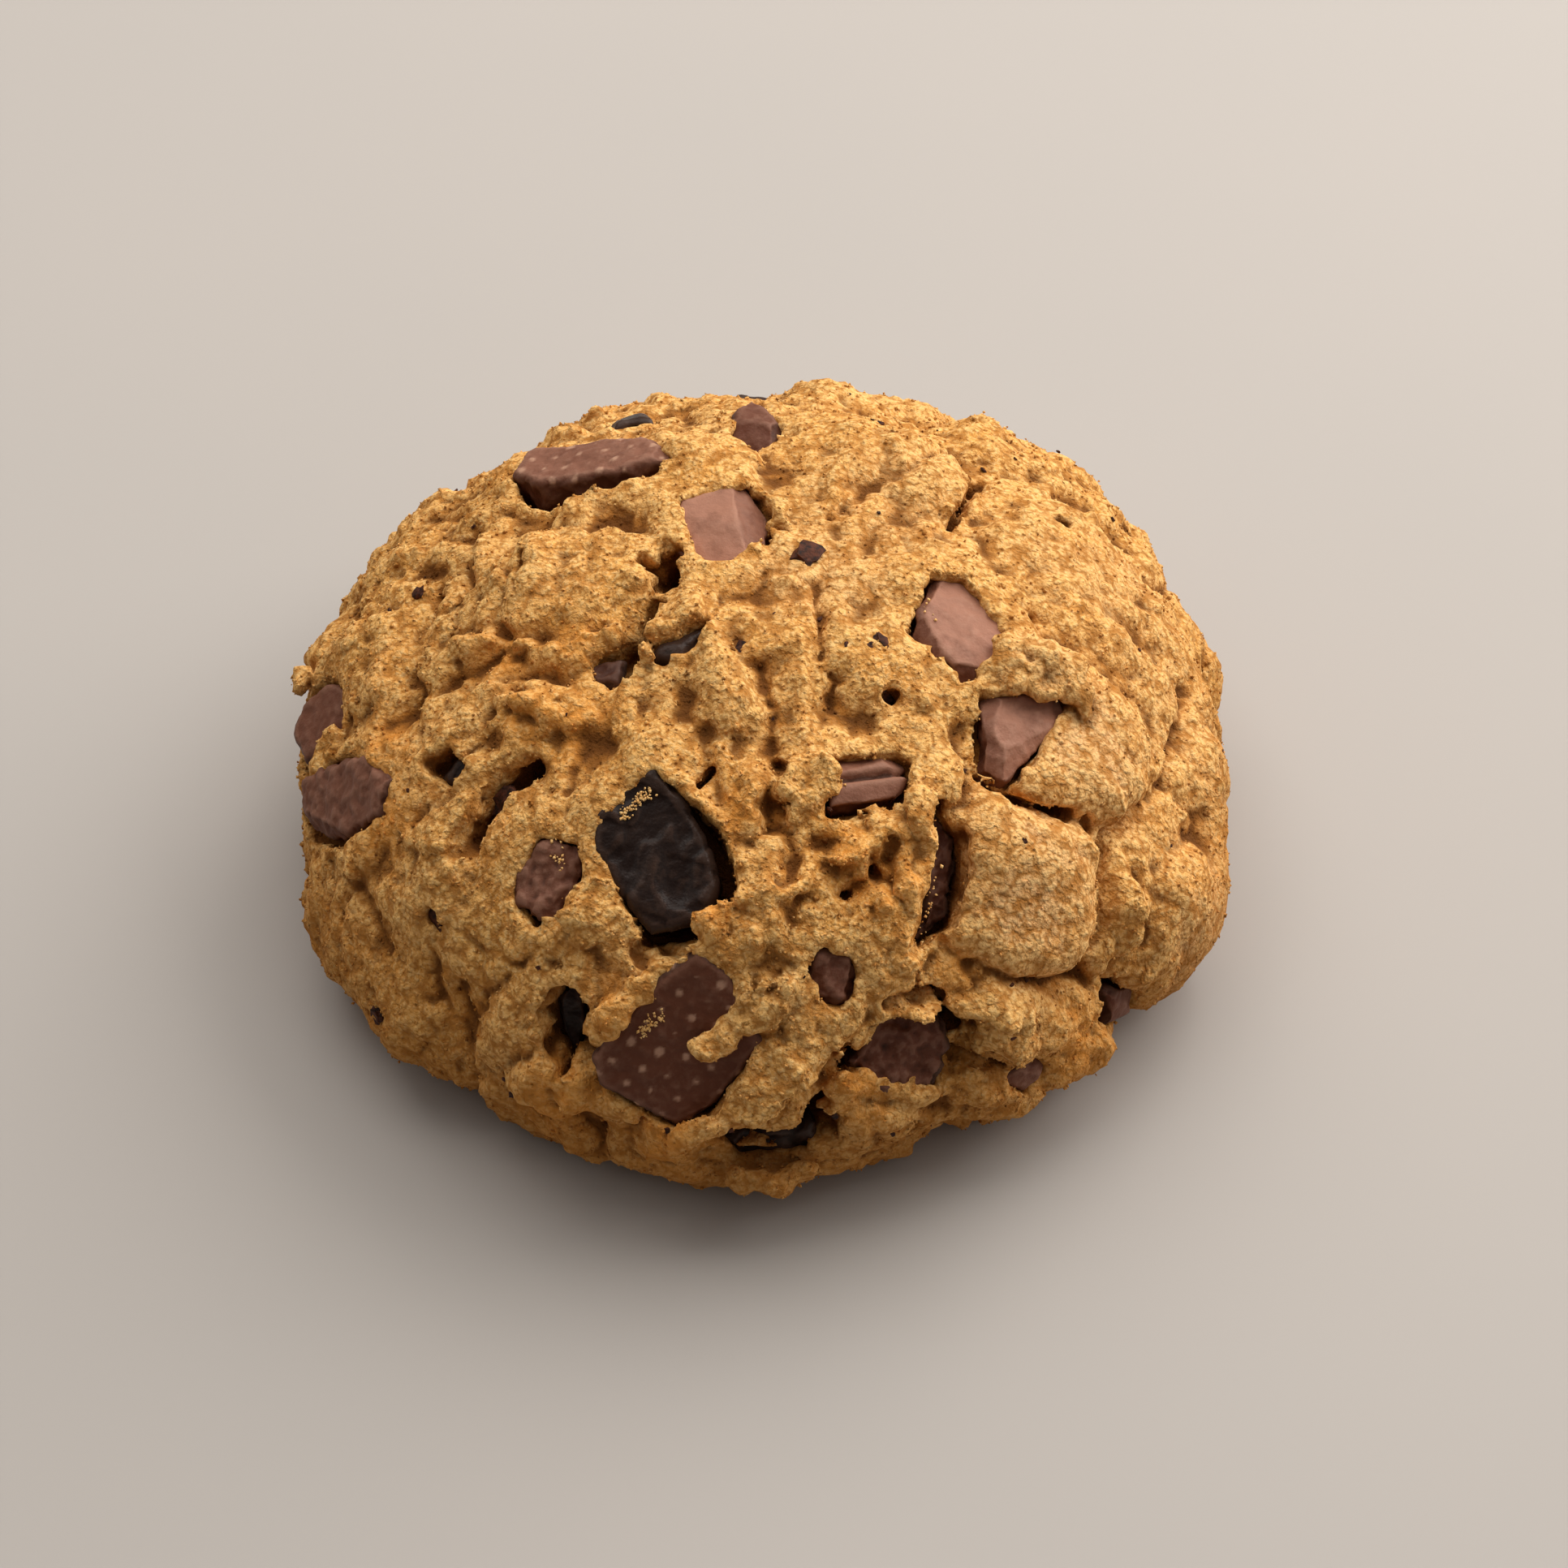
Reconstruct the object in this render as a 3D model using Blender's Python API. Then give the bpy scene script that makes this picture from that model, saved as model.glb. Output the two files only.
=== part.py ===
"""Thick, domed chocolate chip cookie: one baked dough body, and every chunk of chocolate that shows in it.

Run with: blender --background --python part.py
The origin is the middle of the underside, +Z is up, and the side with the deep front pockets faces -Y.

The shape functions work in millimetres, and MM turns them into Blender's metres. Places on the cookie are
given as (east, north) in degrees from the crown, as seen from the centre of the dome: (0, 0) is the crown,
and a point 90 degrees away is on the widest level of the cookie. East is +X, and north is +Y.
"""

import math

import bmesh
import bpy
import numpy as np
from mathutils import Matrix, Vector

MM = 0.001

# The smooth dome under the lumps
RADIUS = 41.2
HEIGHT = 35.6
WIDEST_AT = 7.0  # height of the widest level
UNDERCUT = 14.0  # how far down the lower half of the dome would close, if the tray weren't there
ROUNDNESS = 2.1  # 2 is an ellipse, and more is squarer
# (waves round the rim, share of the radius east, share north)
RIM_WAVES = ((1, 0.007, -0.018), (2, 0.0, 0.011), (3, -0.006, 0.015), (5, -0.009, -0.006))

# Lobes of dough: (east, north, half width, half height, turn, rise, squareness)
LOBES = (
    # the front right, where the dough broke into smooth pillows
    (39, -50, 7.6, 7.0, 0, 2.6, 3.2),
    (48, -26, 8.6, 7.2, 25, 2.2, 2.6),
    (42, -17, 4.8, 2.8, 22, 2.4, 2.2),
    (76, -41, 8.6, 8.0, 30, 2.5, 2.4),
    (78, -12, 5.5, 8.5, 10, 1.4, 2.4),
    (55, -50, 3.0, 5.0, 10, 1.9, 2.2),
    (43, -66, 9.0, 3.4, 12, 2.3, 2.4),
    (38, -79, 8.5, 2.8, 8, 2.3, 2.4),
    (56, -68, 4.6, 3.2, 38, 2.6, 2.2),
    # the rugged middle of the front
    (10, -52, 10.0, 9.0, 0, 1.7, 3.6),
    (5, -24, 11.0, 7.0, 0, 0.8, 2.2),
    (-15, -13, 4.6, 3.4, 28, 2.0, 2.2),
    (-1, -76, 4.6, 3.4, 32, 2.2, 2.2),
    (16, -81, 5.0, 3.0, 0, 2.4, 2.2),
    (-14, -84, 3.6, 2.8, 0, 2.4, 2.0),
    (0, -88, 7.0, 1.7, 0, 2.2, 2.4),
    # the left side
    (-33, -3, 8.4, 6.8, 0, 1.8, 2.6),
    (-35, -25, 5.6, 2.2, -28, 1.6, 2.2),
    (-50, -5, 4.0, 6.5, 0, 0.8, 2.4),
    (-63, 2, 4.6, 8.4, 0, 1.2, 2.4),
    (-50, 25, 8.0, 8.0, 0, 0.8, 2.2),
    (-45, -50, 11.0, 9.0, 0, 1.0, 2.2),
    (-76, -44, 7.0, 9.0, 30, 1.5, 2.4),
    (-62, -64, 8.0, 6.0, -40, 1.3, 2.4),
    (-70, 17, 7.0, 10.0, 0, 0.9, 2.4),
    (-34, -76, 4.4, 3.4, 0, 3.0, 2.0),
    (-24, -79, 2.4, 2.2, 0, 2.2, 2.0),
    (-20, -67, 3.0, 1.7, 40, 2.2, 2.0),
    (-24, -57, 2.5, 2.2, 0, 1.6, 2.0),
    # the top
    (-8, 24, 4.4, 4.2, 0, 1.4, 2.2),
    (12, 31, 7.0, 8.0, 0, 0.8, 2.2),
    (27, 25, 4.2, 6.4, 0, 1.4, 2.4),
    (50, 8, 8.0, 9.0, 0, 0.8, 2.2),
    # the far side
    (20, 61, 8.0, 6.5, 0, 1.6, 2.4),
    (-25, 62, 7.0, 5.5, 0, 1.3, 2.4),
    (60, 40, 7.5, 7.0, 40, 1.5, 2.4),
    (44, 42, 7.0, 6.0, -20, 1.5, 2.4),
    (-62, 38, 6.5, 7.5, 40, 1.4, 2.4),
    (46, 70, 6.5, 4.6, -30, 2.0, 2.2),
    (-6, 82, 8.0, 4.0, 0, 1.8, 2.2),
    (-46, 70, 6.0, 4.4, 30, 1.8, 2.2),
    (84, 20, 5.0, 7.0, 0, 1.5, 2.2),
)

# Folds between the lobes: (half width, depth, places along the fold)
FOLDS = (
    (1.8, 2.6, ((-18, -10), (-21, -13), (-23, -18))),
    (1.8, 2.4, ((27, -43), (27, -50), (24, -58))),
    (1.6, 1.8, ((51, -39), (56, -35), (62, -26), (65, -12))),
    (1.5, 1.6, ((52, -40), (52.5, -47), (51, -57))),
    (2.0, 1.3, ((-40, -17), (-32, -19), (-25, -19))),
    (2.2, 3.2, ((14, -72), (20, -68), (30, -68))),
    (2.2, 2.6, ((5, -80), (10, -79), (13, -83))),
    (1.6, 1.3, ((33, 31), (34, 22), (30, 12))),
    (1.6, 1.2, ((-57, 14), (-57, 2), (-58, -12))),
    (2.4, 1.8, ((34, 52), (44, 52), (55, 60))),
    (2.2, 1.6, ((-36, 50), (-40, 60), (-30, 76))),
)

# Pits in the crust: (east, north, radius, depth)
PITS = (
    (-35, 11, 3.6, 3.4),
    (2, 7, 2.2, 2.0),
    (-17, -2, 2.4, 2.4),
    (34, -37, 2.2, 2.2),
    (-40, -38, 2.6, 2.0),
    (31, -71, 2.6, 3.0),
    (11, -76, 3.0, 3.4),
    (-29, -69, 3.4, 2.4),
    (58, -42, 2.8, 2.0),
    (60, -60, 3.6, 3.4),
    (9, -84, 3.2, 3.2),
)

# Chunks of chocolate: (name, height of the face over the smooth dome, depth, tilt east, tilt north, corners)
CHUNKS = (
    ("milk_chunk_crown_left", 0.9, 6.5, 0, 0,
     ((-39, 36), (-30, 35), (-19, 33), (-15, 27), (-15, 24), (-24, 22), (-37, 23), (-41, 28))),
    ("milk_chunk_crown", 0.3, 6.0, 0, 3,
     ((-15, 13), (-6, 17), (-3, 18), (1, 13), (1, 4), (-6, -3), (-10, -4), (-14, 3))),
    ("milk_chunk_crown_back", 0.4, 5.0, 4, 6,
     ((-5, 43), (-3, 47), (1, 44), (4, 38), (2, 33), (-2, 30), (-5, 35))),
    ("milk_chunk_right", 0.7, 5.5, 0, 0, ((27, -4), (33, -1), (41, -13), (37, -21), (31, -23), (24, -16))),
    ("milk_chunk_right_low", 0.7, 5.0, 0, 0,
     ((34, -25), (46, -19), (49, -22), (44, -28), (37, -37), (34, -36))),
    ("milk_chunk_ridged", 0.6, 5.0, 0, -8, ((10, -38), (21, -36), (23, -38), (21, -44), (9, -47))),
    ("dark_chunk_front", 0.2, 7.0, 5, 4,
     ((-16, -38), (-8, -49), (-6, -55), (-8, -59), (-16, -60), (-20, -56), (-25, -49), (-25, -44))),
    ("milk_chunk_front_left", 0.6, 5.5, 0, -4,
     ((-33, -45), (-27, -48), (-27, -52), (-30, -56), (-33, -56), (-37, -53), (-37, -49))),
    ("milk_chunk_front", 0.4, 6.0, 0, 4,
     ((-9, -61), (-4, -64), (1, -72), (-7, -80), (-13, -82), (-25, -76), (-26, -72), (-16, -65))),
    ("dark_chunk_front_low", -1.2, 4.0, 0, 0, ((-34, -66), (-29, -64), (-29, -70), (-31, -74))),
    ("milk_chunk_fold", -0.5, 6.0, 0, -6,
     ((19, -69), (29, -68), (30, -72), (29, -77), (20, -79), (13, -75), (15, -73))),
    ("dark_chunk_base", -1.6, 5.0, 0, 0, ((-7, -86), (9, -85), (10, -89), (-6, -91))),
    ("milk_chunk_left_rim", 0.4, 6.0, 0, 0,
     ((-76, -15), (-69, -18), (-62, -21), (-56, -29), (-59, -33), (-69, -31), (-77, -24))),
    ("milk_chunk_left_rim_high", 0.4, 6.0, 20, 8,
     ((-76, -1), (-71, 0), (-67, -4), (-68, -12), (-76, -13), (-78, -6))),
    ("milk_chunk_small", 0.8, 4.0, 0, 0, ((7, -62), (13, -62), (15, -65), (12, -69), (8, -68), (6, -65))),
    ("dark_chunk_groove", -0.9, 5.0, 8, 0, ((-28, -19), (-22, -19), (-22, -25), (-25, -26))),
    ("dark_chunk_sliver", -0.2, 4.0, 0, -6,
     ((-18, -19), (-9, -15), (-7, -14), (-9, -18), (-13, -21), (-17, -22))),
    ("dark_chunk_left", -1.2, 4.0, 0, 0, ((-53, -28), (-48, -27), (-45, -32), (-48, -34))),
    ("milk_chunk_crack", -1.2, 5.0, 0, 0,
     ((27, -43), (30, -46), (30, -50), (28, -57), (24, -60), (25, -52))),
    ("milk_chunk_notch", -0.6, 4.5, 0, 0, ((60, -58), (68, -55), (71, -58), (63, -63))),
    ("milk_chunk_smear", 0.6, 3.5, 0, 0, ((42, -72), (48, -70), (50, -72), (46, -76), (41, -75))),
    ("dark_chunk_top_edge", 0.0, 4.5, 0, 0, ((-28, 50), (-20, 51), (-19, 46), (-26, 45))),
    # the far side
    ("milk_chunk_far_right", 0.7, 6.0, 0, 0, ((24, 66), (38, 62), (41, 71), (31, 76), (22, 73))),
    ("dark_chunk_far", 0.3, 6.0, 4, 0, ((-6, 66), (6, 66), (8, 76), (-2, 80), (-9, 74))),
    ("milk_chunk_far_left", 0.5, 6.0, 0, 0, ((-40, 62), (-28, 65), (-26, 76), (-36, 80), (-44, 72))),
    ("dark_chunk_far_left_rim", 0.8, 6.0, 0, 0, ((-70, 44), (-61, 50), (-62, 60), (-72, 58), (-77, 50))),
    ("milk_chunk_far_right_rim", 0.6, 6.0, 0, 0, ((70, 44), (80, 40), (84, 48), (76, 56), (67, 53))),
    ("milk_chunk_far_rim", 0.9, 5.0, 0, 0, ((8, 84), (20, 82), (22, 89), (12, 92), (6, 90))),
    ("dark_chunk_far_right", 0.2, 5.0, 0, 0, ((50, 64), (58, 60), (62, 66), (55, 71), (49, 70))),
)
CHUNK_TAPER = 0.12  # a chunk's buried end is this much narrower than its face
CHUNK_EDGE = 0.5  # rounding of a chunk's edges
GAP = 0.35  # clearance between a chunk and the pocket it sits in
CUTTER_REACH = 7.0  # how far a pocket's cutter stands out of the dough

# The mesh of the dough
SIDES = 84
RINGS = 34
RINGS_UNDERNEATH = 4
LOWEST_CROWN_ANGLE = 104.0  # the rim of the underside is about this far from the crown

DOUGH_GOLD = (0.62, 0.34, 0.11, 1.0)
MILK_CHOCOLATE = (0.17, 0.075, 0.045, 1.0)
DARK_CHOCOLATE = (0.018, 0.010, 0.009, 1.0)


def smooth_dome(east, north):
    """Points of the dome without its lumps, as seen from its centre on the widest level."""
    crown_angle = np.radians(np.hypot(east, north))
    bearing = np.arctan2(north, east)
    rim = RADIUS * (1 + sum(e * np.cos(n * bearing) + f * np.sin(n * bearing) for n, e, f in RIM_WAVES))
    tall = np.where(crown_angle < math.pi / 2, HEIGHT - WIDEST_AT, UNDERCUT)
    across, up = np.sin(crown_angle), np.cos(crown_angle)
    reach = ((across / rim) ** ROUNDNESS + (np.abs(up) / tall) ** ROUNDNESS) ** (-1 / ROUNDNESS)
    return np.stack([across * np.cos(bearing), across * np.sin(bearing), up], axis=-1) * reach[..., None]


def tangent_frame(east, north):
    """(point, unit east, unit north, unit outward) on the smooth dome."""
    step = 0.5
    here = smooth_dome(np.array(east, float), np.array(north, float))
    along_east = smooth_dome(np.array(east + step), np.array(float(north))) - here
    along_north = smooth_dome(np.array(float(east)), np.array(north + step)) - here
    outward = np.cross(along_east, along_north)
    outward /= np.linalg.norm(outward)
    unit_east = along_east / np.linalg.norm(along_east)
    return here, unit_east, np.cross(outward, unit_east), outward


def lobe_rise(points, east, north, half_width, half_height, turn, rise, squareness):
    """How far one lobe lifts the crust at these points of the smooth dome."""
    centre, unit_east, unit_north, outward = tangent_frame(east, north)
    offset = points - centre
    x, y, z = offset @ unit_east, offset @ unit_north, offset @ outward
    c, s = math.cos(math.radians(turn)), math.sin(math.radians(turn))
    away = (
        np.abs((x * c + y * s) / half_width) ** squareness
        + np.abs((y * c - x * s) / half_height) ** squareness
        + np.abs(z / max(half_width, half_height)) ** squareness
    )
    return rise * np.sqrt(np.clip(1 - away, 0, None))


def distance_to_line(points, places):
    """Distance from each point to the line through these places on the smooth dome."""
    line = smooth_dome(*np.array(places, float).T)
    nearest = np.full(len(points), np.inf)
    for start, end in zip(line[:-1], line[1:]):
        along = end - start
        share = np.clip((points - start) @ along / (along @ along), 0, 1)
        nearest = np.minimum(nearest, np.linalg.norm(points - start - share[:, None] * along, axis=1))
    return nearest


def crust_relief(points):
    """How far the crust stands out from the smooth dome at these points of it."""
    relief = np.zeros(len(points))
    for lobe in LOBES:
        relief = np.maximum(relief, lobe_rise(points, *lobe))
    for half_width, depth, places in FOLDS:
        relief -= depth * np.exp(-((distance_to_line(points, places) / half_width) ** 2))
    for east, north, radius, depth in PITS:
        centre = smooth_dome(np.array(float(east)), np.array(float(north)))
        away = np.linalg.norm(points - centre, axis=1)
        relief -= depth * np.exp(-((away / radius) ** 2))
    return relief


def ring_crown_angle(share):
    """Crown angle of the ring this share of the way down, with most of the rings crowded onto the crust."""
    on_crust = 1 - RINGS_UNDERNEATH / RINGS
    crust = np.clip(share / on_crust, 0, 1) * LOWEST_CROWN_ANGLE
    under = np.clip((share - on_crust) / (1 - on_crust), 0, 1) * (180 - LOWEST_CROWN_ANGLE)
    return crust + under


def make_material(name, colour, roughness):
    material = bpy.data.materials.new(name)
    material.use_nodes = True
    shader = material.node_tree.nodes["Principled BSDF"]
    shader.inputs["Base Color"].default_value = colour
    shader.inputs["Roughness"].default_value = roughness
    return material


def make_dough(collection):
    """The dough: a sphere whose points are moved out to the lumpy dome and pressed flat underneath."""
    bpy.ops.mesh.primitive_uv_sphere_add(segments=SIDES, ring_count=RINGS, radius=1.0)
    dough = bpy.context.object
    dough.name = "dough"
    vertices = dough.data.vertices
    places = np.array([v.co for v in vertices])
    share = np.arccos(np.clip(places[:, 2], -1, 1)) / math.pi
    crown_angle = ring_crown_angle(share)
    bearing = np.arctan2(places[:, 1], places[:, 0])
    points = smooth_dome(crown_angle * np.cos(bearing), crown_angle * np.sin(bearing))
    outward = points / np.linalg.norm(points, axis=1)[:, None]
    points = points + outward * crust_relief(points)[:, None]
    points[:, 2] += WIDEST_AT
    below = points[:, 2] < 0
    points[below, :2] *= (WIDEST_AT / (WIDEST_AT - points[below, 2]))[:, None]
    points[below, 2] = 0
    vertices.foreach_set("co", (points * MM).ravel())
    dough.data.shade_smooth()
    move_to(dough, collection)
    return dough


def move_to(thing, collection):
    for old in list(thing.users_collection):
        old.objects.unlink(thing)
    collection.objects.link(thing)


def prism(name, outline, top, bottom, taper, rounding):
    """A block with this outline between two levels, narrower at the bottom, its edges rounded."""
    curve = bpy.data.curves.new(name, "CURVE")
    curve.dimensions = "2D"
    curve.fill_mode = "BOTH"
    curve.extrude = ((top - bottom) / 2 - rounding) * MM
    curve.bevel_depth = rounding * MM
    curve.bevel_resolution = 0
    curve.offset = -rounding * MM
    spline = curve.splines.new("POLY")
    spline.points.add(len(outline) - 1)
    for point, (x, y) in zip(spline.points, outline):
        point.co = (x * MM, y * MM, 0, 1)
    spline.use_cyclic_u = True
    guide = bpy.data.objects.new(name + "_outline", curve)
    bpy.context.scene.collection.objects.link(guide)
    bpy.context.view_layer.update()
    evaluated = guide.evaluated_get(bpy.context.evaluated_depsgraph_get())
    mesh = bpy.data.meshes.new_from_object(evaluated)
    bpy.data.objects.remove(guide)
    shape = bmesh.new()
    shape.from_mesh(mesh)
    bmesh.ops.remove_doubles(shape, verts=shape.verts, dist=0.00001)
    bmesh.ops.recalc_face_normals(shape, faces=shape.faces)
    for vertex in shape.verts:
        vertex.co.z += (top + bottom) / 2 * MM
        buried = (top * MM - vertex.co.z) / ((top - bottom) * MM)
        vertex.co.xy *= 1 - taper * buried
    shape.to_mesh(mesh)
    shape.free()
    return bpy.data.objects.new(name, mesh)


def chunk_place(corners, tilt_east, tilt_north):
    """(matrix of a chunk's own frame, outline in that frame): its origin is the middle of its face."""
    east, north = np.array(corners, float).T
    middle, unit_east, unit_north, outward = tangent_frame(east.mean(), north.mean())
    turn = Matrix((unit_east, unit_north, outward)).transposed()
    turn = turn @ Matrix.Rotation(math.radians(tilt_east), 3, "Y")
    turn = turn @ Matrix.Rotation(math.radians(tilt_north), 3, "X")
    axes = np.array(turn)
    offsets = smooth_dome(east, north) - middle
    outline = [(offset @ axes[:, 0], offset @ axes[:, 1]) for offset in offsets]
    matrix = turn.to_4x4()
    matrix.translation = (Vector(middle) + Vector((0, 0, WIDEST_AT))) * MM
    return matrix, outline


def grown(outline, by):
    """The outline moved away from its middle by this much."""
    middle = np.mean(outline, axis=0)
    return [tuple(p + (p - middle) / np.linalg.norm(p - middle) * by) for p in np.array(outline)]


def make_chunk(name, stand, depth, tilt_east, tilt_north, corners, collection, cutters, materials):
    """One chunk of chocolate, and the cutter that makes its pocket in the dough."""
    matrix, outline = chunk_place(corners, tilt_east, tilt_north)
    chunk = prism(name, outline, stand, stand - depth, CHUNK_TAPER, CHUNK_EDGE)
    chunk.matrix_world = matrix
    chunk.data.materials.append(materials[name.split("_")[0]])
    collection.objects.link(chunk)
    pocket_floor = stand - depth - GAP
    cutter = prism(name + "_pocket", grown(outline, 2 * GAP), stand + CUTTER_REACH, pocket_floor, 0.0, 0.1)
    cutter.matrix_world = matrix
    cutter.hide_render = True
    cutter.display_type = "WIRE"
    cutters.objects.link(cutter)
    return cutter


def main():
    for thing in list(bpy.data.objects):
        bpy.data.objects.remove(thing)
    cookie = bpy.data.collections.new("chocolate_chip_cookie")
    cutters = bpy.data.collections.new("pocket_cutters")
    for collection in (cookie, cutters):
        bpy.context.scene.collection.children.link(collection)
    chocolate = {
        "milk": make_material("milk_chocolate", MILK_CHOCOLATE, 0.45),
        "dark": make_material("dark_chocolate", DARK_CHOCOLATE, 0.35),
    }
    dough = make_dough(cookie)
    dough.data.materials.append(make_material("dough", DOUGH_GOLD, 0.85))
    for chunk in CHUNKS:
        cutter = make_chunk(*chunk, cookie, cutters, chocolate)
        cut = dough.modifiers.new(cutter.name, "BOOLEAN")
        cut.operation = "DIFFERENCE"
        cut.object = cutter


main()
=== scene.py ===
"""Looks of the chocolate chip cookie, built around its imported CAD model.

The shape functions work in millimetres, and MM turns them into Blender's metres. Places on the cookie are
given as (east, north) in degrees from the crown, as seen from the centre of the dome: (0, 0) is the crown,
and a point 90 degrees away is on the widest level of the cookie. East is +X, and north is +Y, away from
the camera.
"""

import math
from typing import NamedTuple

import bpy
import numpy as np
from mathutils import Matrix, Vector

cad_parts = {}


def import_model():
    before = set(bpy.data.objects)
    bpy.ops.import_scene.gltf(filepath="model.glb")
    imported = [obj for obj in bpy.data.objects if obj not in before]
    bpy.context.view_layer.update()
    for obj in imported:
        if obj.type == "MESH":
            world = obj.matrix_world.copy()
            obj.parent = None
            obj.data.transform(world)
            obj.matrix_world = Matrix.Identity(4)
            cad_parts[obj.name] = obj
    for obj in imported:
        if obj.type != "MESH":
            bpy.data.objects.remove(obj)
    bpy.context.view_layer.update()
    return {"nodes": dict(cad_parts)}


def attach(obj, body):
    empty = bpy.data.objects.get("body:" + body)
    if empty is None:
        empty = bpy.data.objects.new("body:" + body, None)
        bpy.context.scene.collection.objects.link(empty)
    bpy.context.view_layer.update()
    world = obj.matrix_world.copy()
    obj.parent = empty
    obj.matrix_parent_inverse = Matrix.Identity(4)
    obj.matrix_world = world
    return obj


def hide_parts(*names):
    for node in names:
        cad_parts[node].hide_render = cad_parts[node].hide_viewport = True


MM = 0.001

# The smooth dome, as in the CAD model
RADIUS = 41.2
HEIGHT = 35.6
WIDEST_AT = 7.0
CENTRE = np.array([0, 0, WIDEST_AT])
UNDERCUT = 14.0
ROUNDNESS = 2.1
RIM_WAVES = ((1, 0.007, -0.018), (2, 0.0, 0.011), (3, -0.006, 0.015), (5, -0.009, -0.006))

# Grids
MAP_REACH = 118.0  # degrees from the crown that the relief map covers
MAP_STEP = 0.25
CELL = 0.33  # mm, the edge of a cell of the dough's distance field
FIELD_LOW = (-46.0, -46.0, -2 * CELL)
FIELD_SIZE = (92.0, 92.0, 40.5)
DOUGH_TRIANGLES = 195000
CLUMPS = 700  # crumbs of dough stuck to the crust
RODS_FROM = 0.8  # mm above the crust, where the rods that carve gaps and pits start
ROD_SPACING = 0.35

# Layers of noise: (seed, size in mm, strength)
EDGE_STRAY = ((11, 5.0, 0.9), (14, 1.7, 0.35))  # of lobes and cracks from their drawn places
LIP_STRAY = ((31, 2.2, 1.0), (34, 1.0, 0.5))  # of the places where the crust is looked up
BROAD_SWELL = ((22, 13.0, 0.5), (23, 7.5, 0.6))
GAP_SIDES = ((42, 1.9, 0.5), (43, 0.9, 0.25))
POCKET_EDGES = ((41, 2.4, 1.0), (44, 1.1, 0.7))
TONGUE_SIDES = ((45, 2.0, 0.7), (46, 1.0, 0.4))
CRUMB_LUMPS = ((51, 2.6, 0.3), (52, 1.5, 0.38), (54, 0.95, 0.26))
CRUST_GRAIN_LAYER = ((61, 0.9, 0.08),)

# Creases between lobes of noise: (seed, size of the lobes, width, depth)
CREASES = ((31, 7.0, 0.22, 2.0), (35, 4.0, 0.26, 1.1))

# Lobes of dough: (east, north, half width, half height, turn, rise, squareness)
LOBES = (
    # the front right, where the dough broke into smooth pillows
    (39, -50, 7.6, 7.0, 0, 2.6, 3.2),
    (48, -26, 8.6, 7.2, 25, 2.2, 2.6),
    (42, -17, 4.8, 2.8, 22, 2.4, 2.2),
    (76, -41, 8.6, 8.0, 30, 2.5, 2.4),
    (78, -12, 5.5, 8.5, 10, 1.4, 2.4),
    (55, -50, 3.0, 5.0, 10, 1.9, 2.2),
    (43, -66, 9.0, 3.4, 12, 1.7, 2.4),
    (38, -79, 8.5, 2.8, 8, 1.0, 2.4),
    (56, -68, 4.6, 3.2, 38, 1.8, 2.2),
    # the rugged middle of the front
    (10, -52, 10.0, 9.0, 0, 1.7, 3.6),
    (5, -24, 11.0, 7.0, 0, 0.8, 2.2),
    (-16, -13.5, 5.2, 3.4, 28, 2.3, 2.2),
    (-1, -76, 4.6, 3.4, 32, 1.8, 2.2),
    (16, -81, 5.0, 3.0, 0, 1.3, 2.2),
    (-14, -84, 3.6, 2.8, 0, 1.2, 2.0),
    (0, -88, 7.0, 1.7, 0, 0.9, 2.4),
    # the left side
    (-33, -3, 8.4, 6.8, 0, 1.8, 2.6),
    (-35, -25, 5.6, 2.2, -28, 1.6, 2.2),
    (-50, -5, 4.0, 6.5, 0, 0.8, 2.4),
    (-63, 2, 4.6, 8.4, 0, 1.2, 2.4),
    (-50, 25, 8.0, 8.0, 0, 0.8, 2.2),
    (-45, -50, 11.0, 9.0, 0, 1.0, 2.2),
    (-76, -44, 7.0, 9.0, 30, 1.5, 2.4),
    (-62, -64, 8.0, 6.0, -40, 1.3, 2.4),
    (-70, 17, 7.0, 10.0, 0, 0.9, 2.4),
    (-34, -76, 4.4, 3.4, 0, 2.3, 2.0),
    (-24, -79, 2.4, 2.2, 0, 1.4, 2.0),
    (-20, -67, 3.0, 1.7, 40, 2.2, 2.0),
    (-24, -57, 2.5, 2.2, 0, 1.6, 2.0),
    # the top
    (-8, 24, 4.4, 4.2, 0, 1.4, 2.2),
    (12, 31, 7.0, 8.0, 0, 0.8, 2.2),
    (27, 25, 4.2, 6.4, 0, 1.4, 2.4),
    (50, 8, 8.0, 9.0, 0, 0.8, 2.2),
    # the far side
    (20, 61, 8.0, 6.5, 0, 1.6, 2.4),
    (-25, 62, 7.0, 5.5, 0, 1.3, 2.4),
    (60, 40, 7.5, 7.0, 40, 1.5, 2.4),
    (44, 42, 7.0, 6.0, -20, 1.5, 2.4),
    (-62, 38, 6.5, 7.5, 40, 1.4, 2.4),
    (46, 70, 6.5, 4.6, -30, 2.0, 2.2),
    (-6, 82, 8.0, 4.0, 0, 1.8, 2.2),
    (-46, 70, 6.0, 4.4, 30, 1.8, 2.2),
    (84, 20, 5.0, 7.0, 0, 1.5, 2.2),
)

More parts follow.
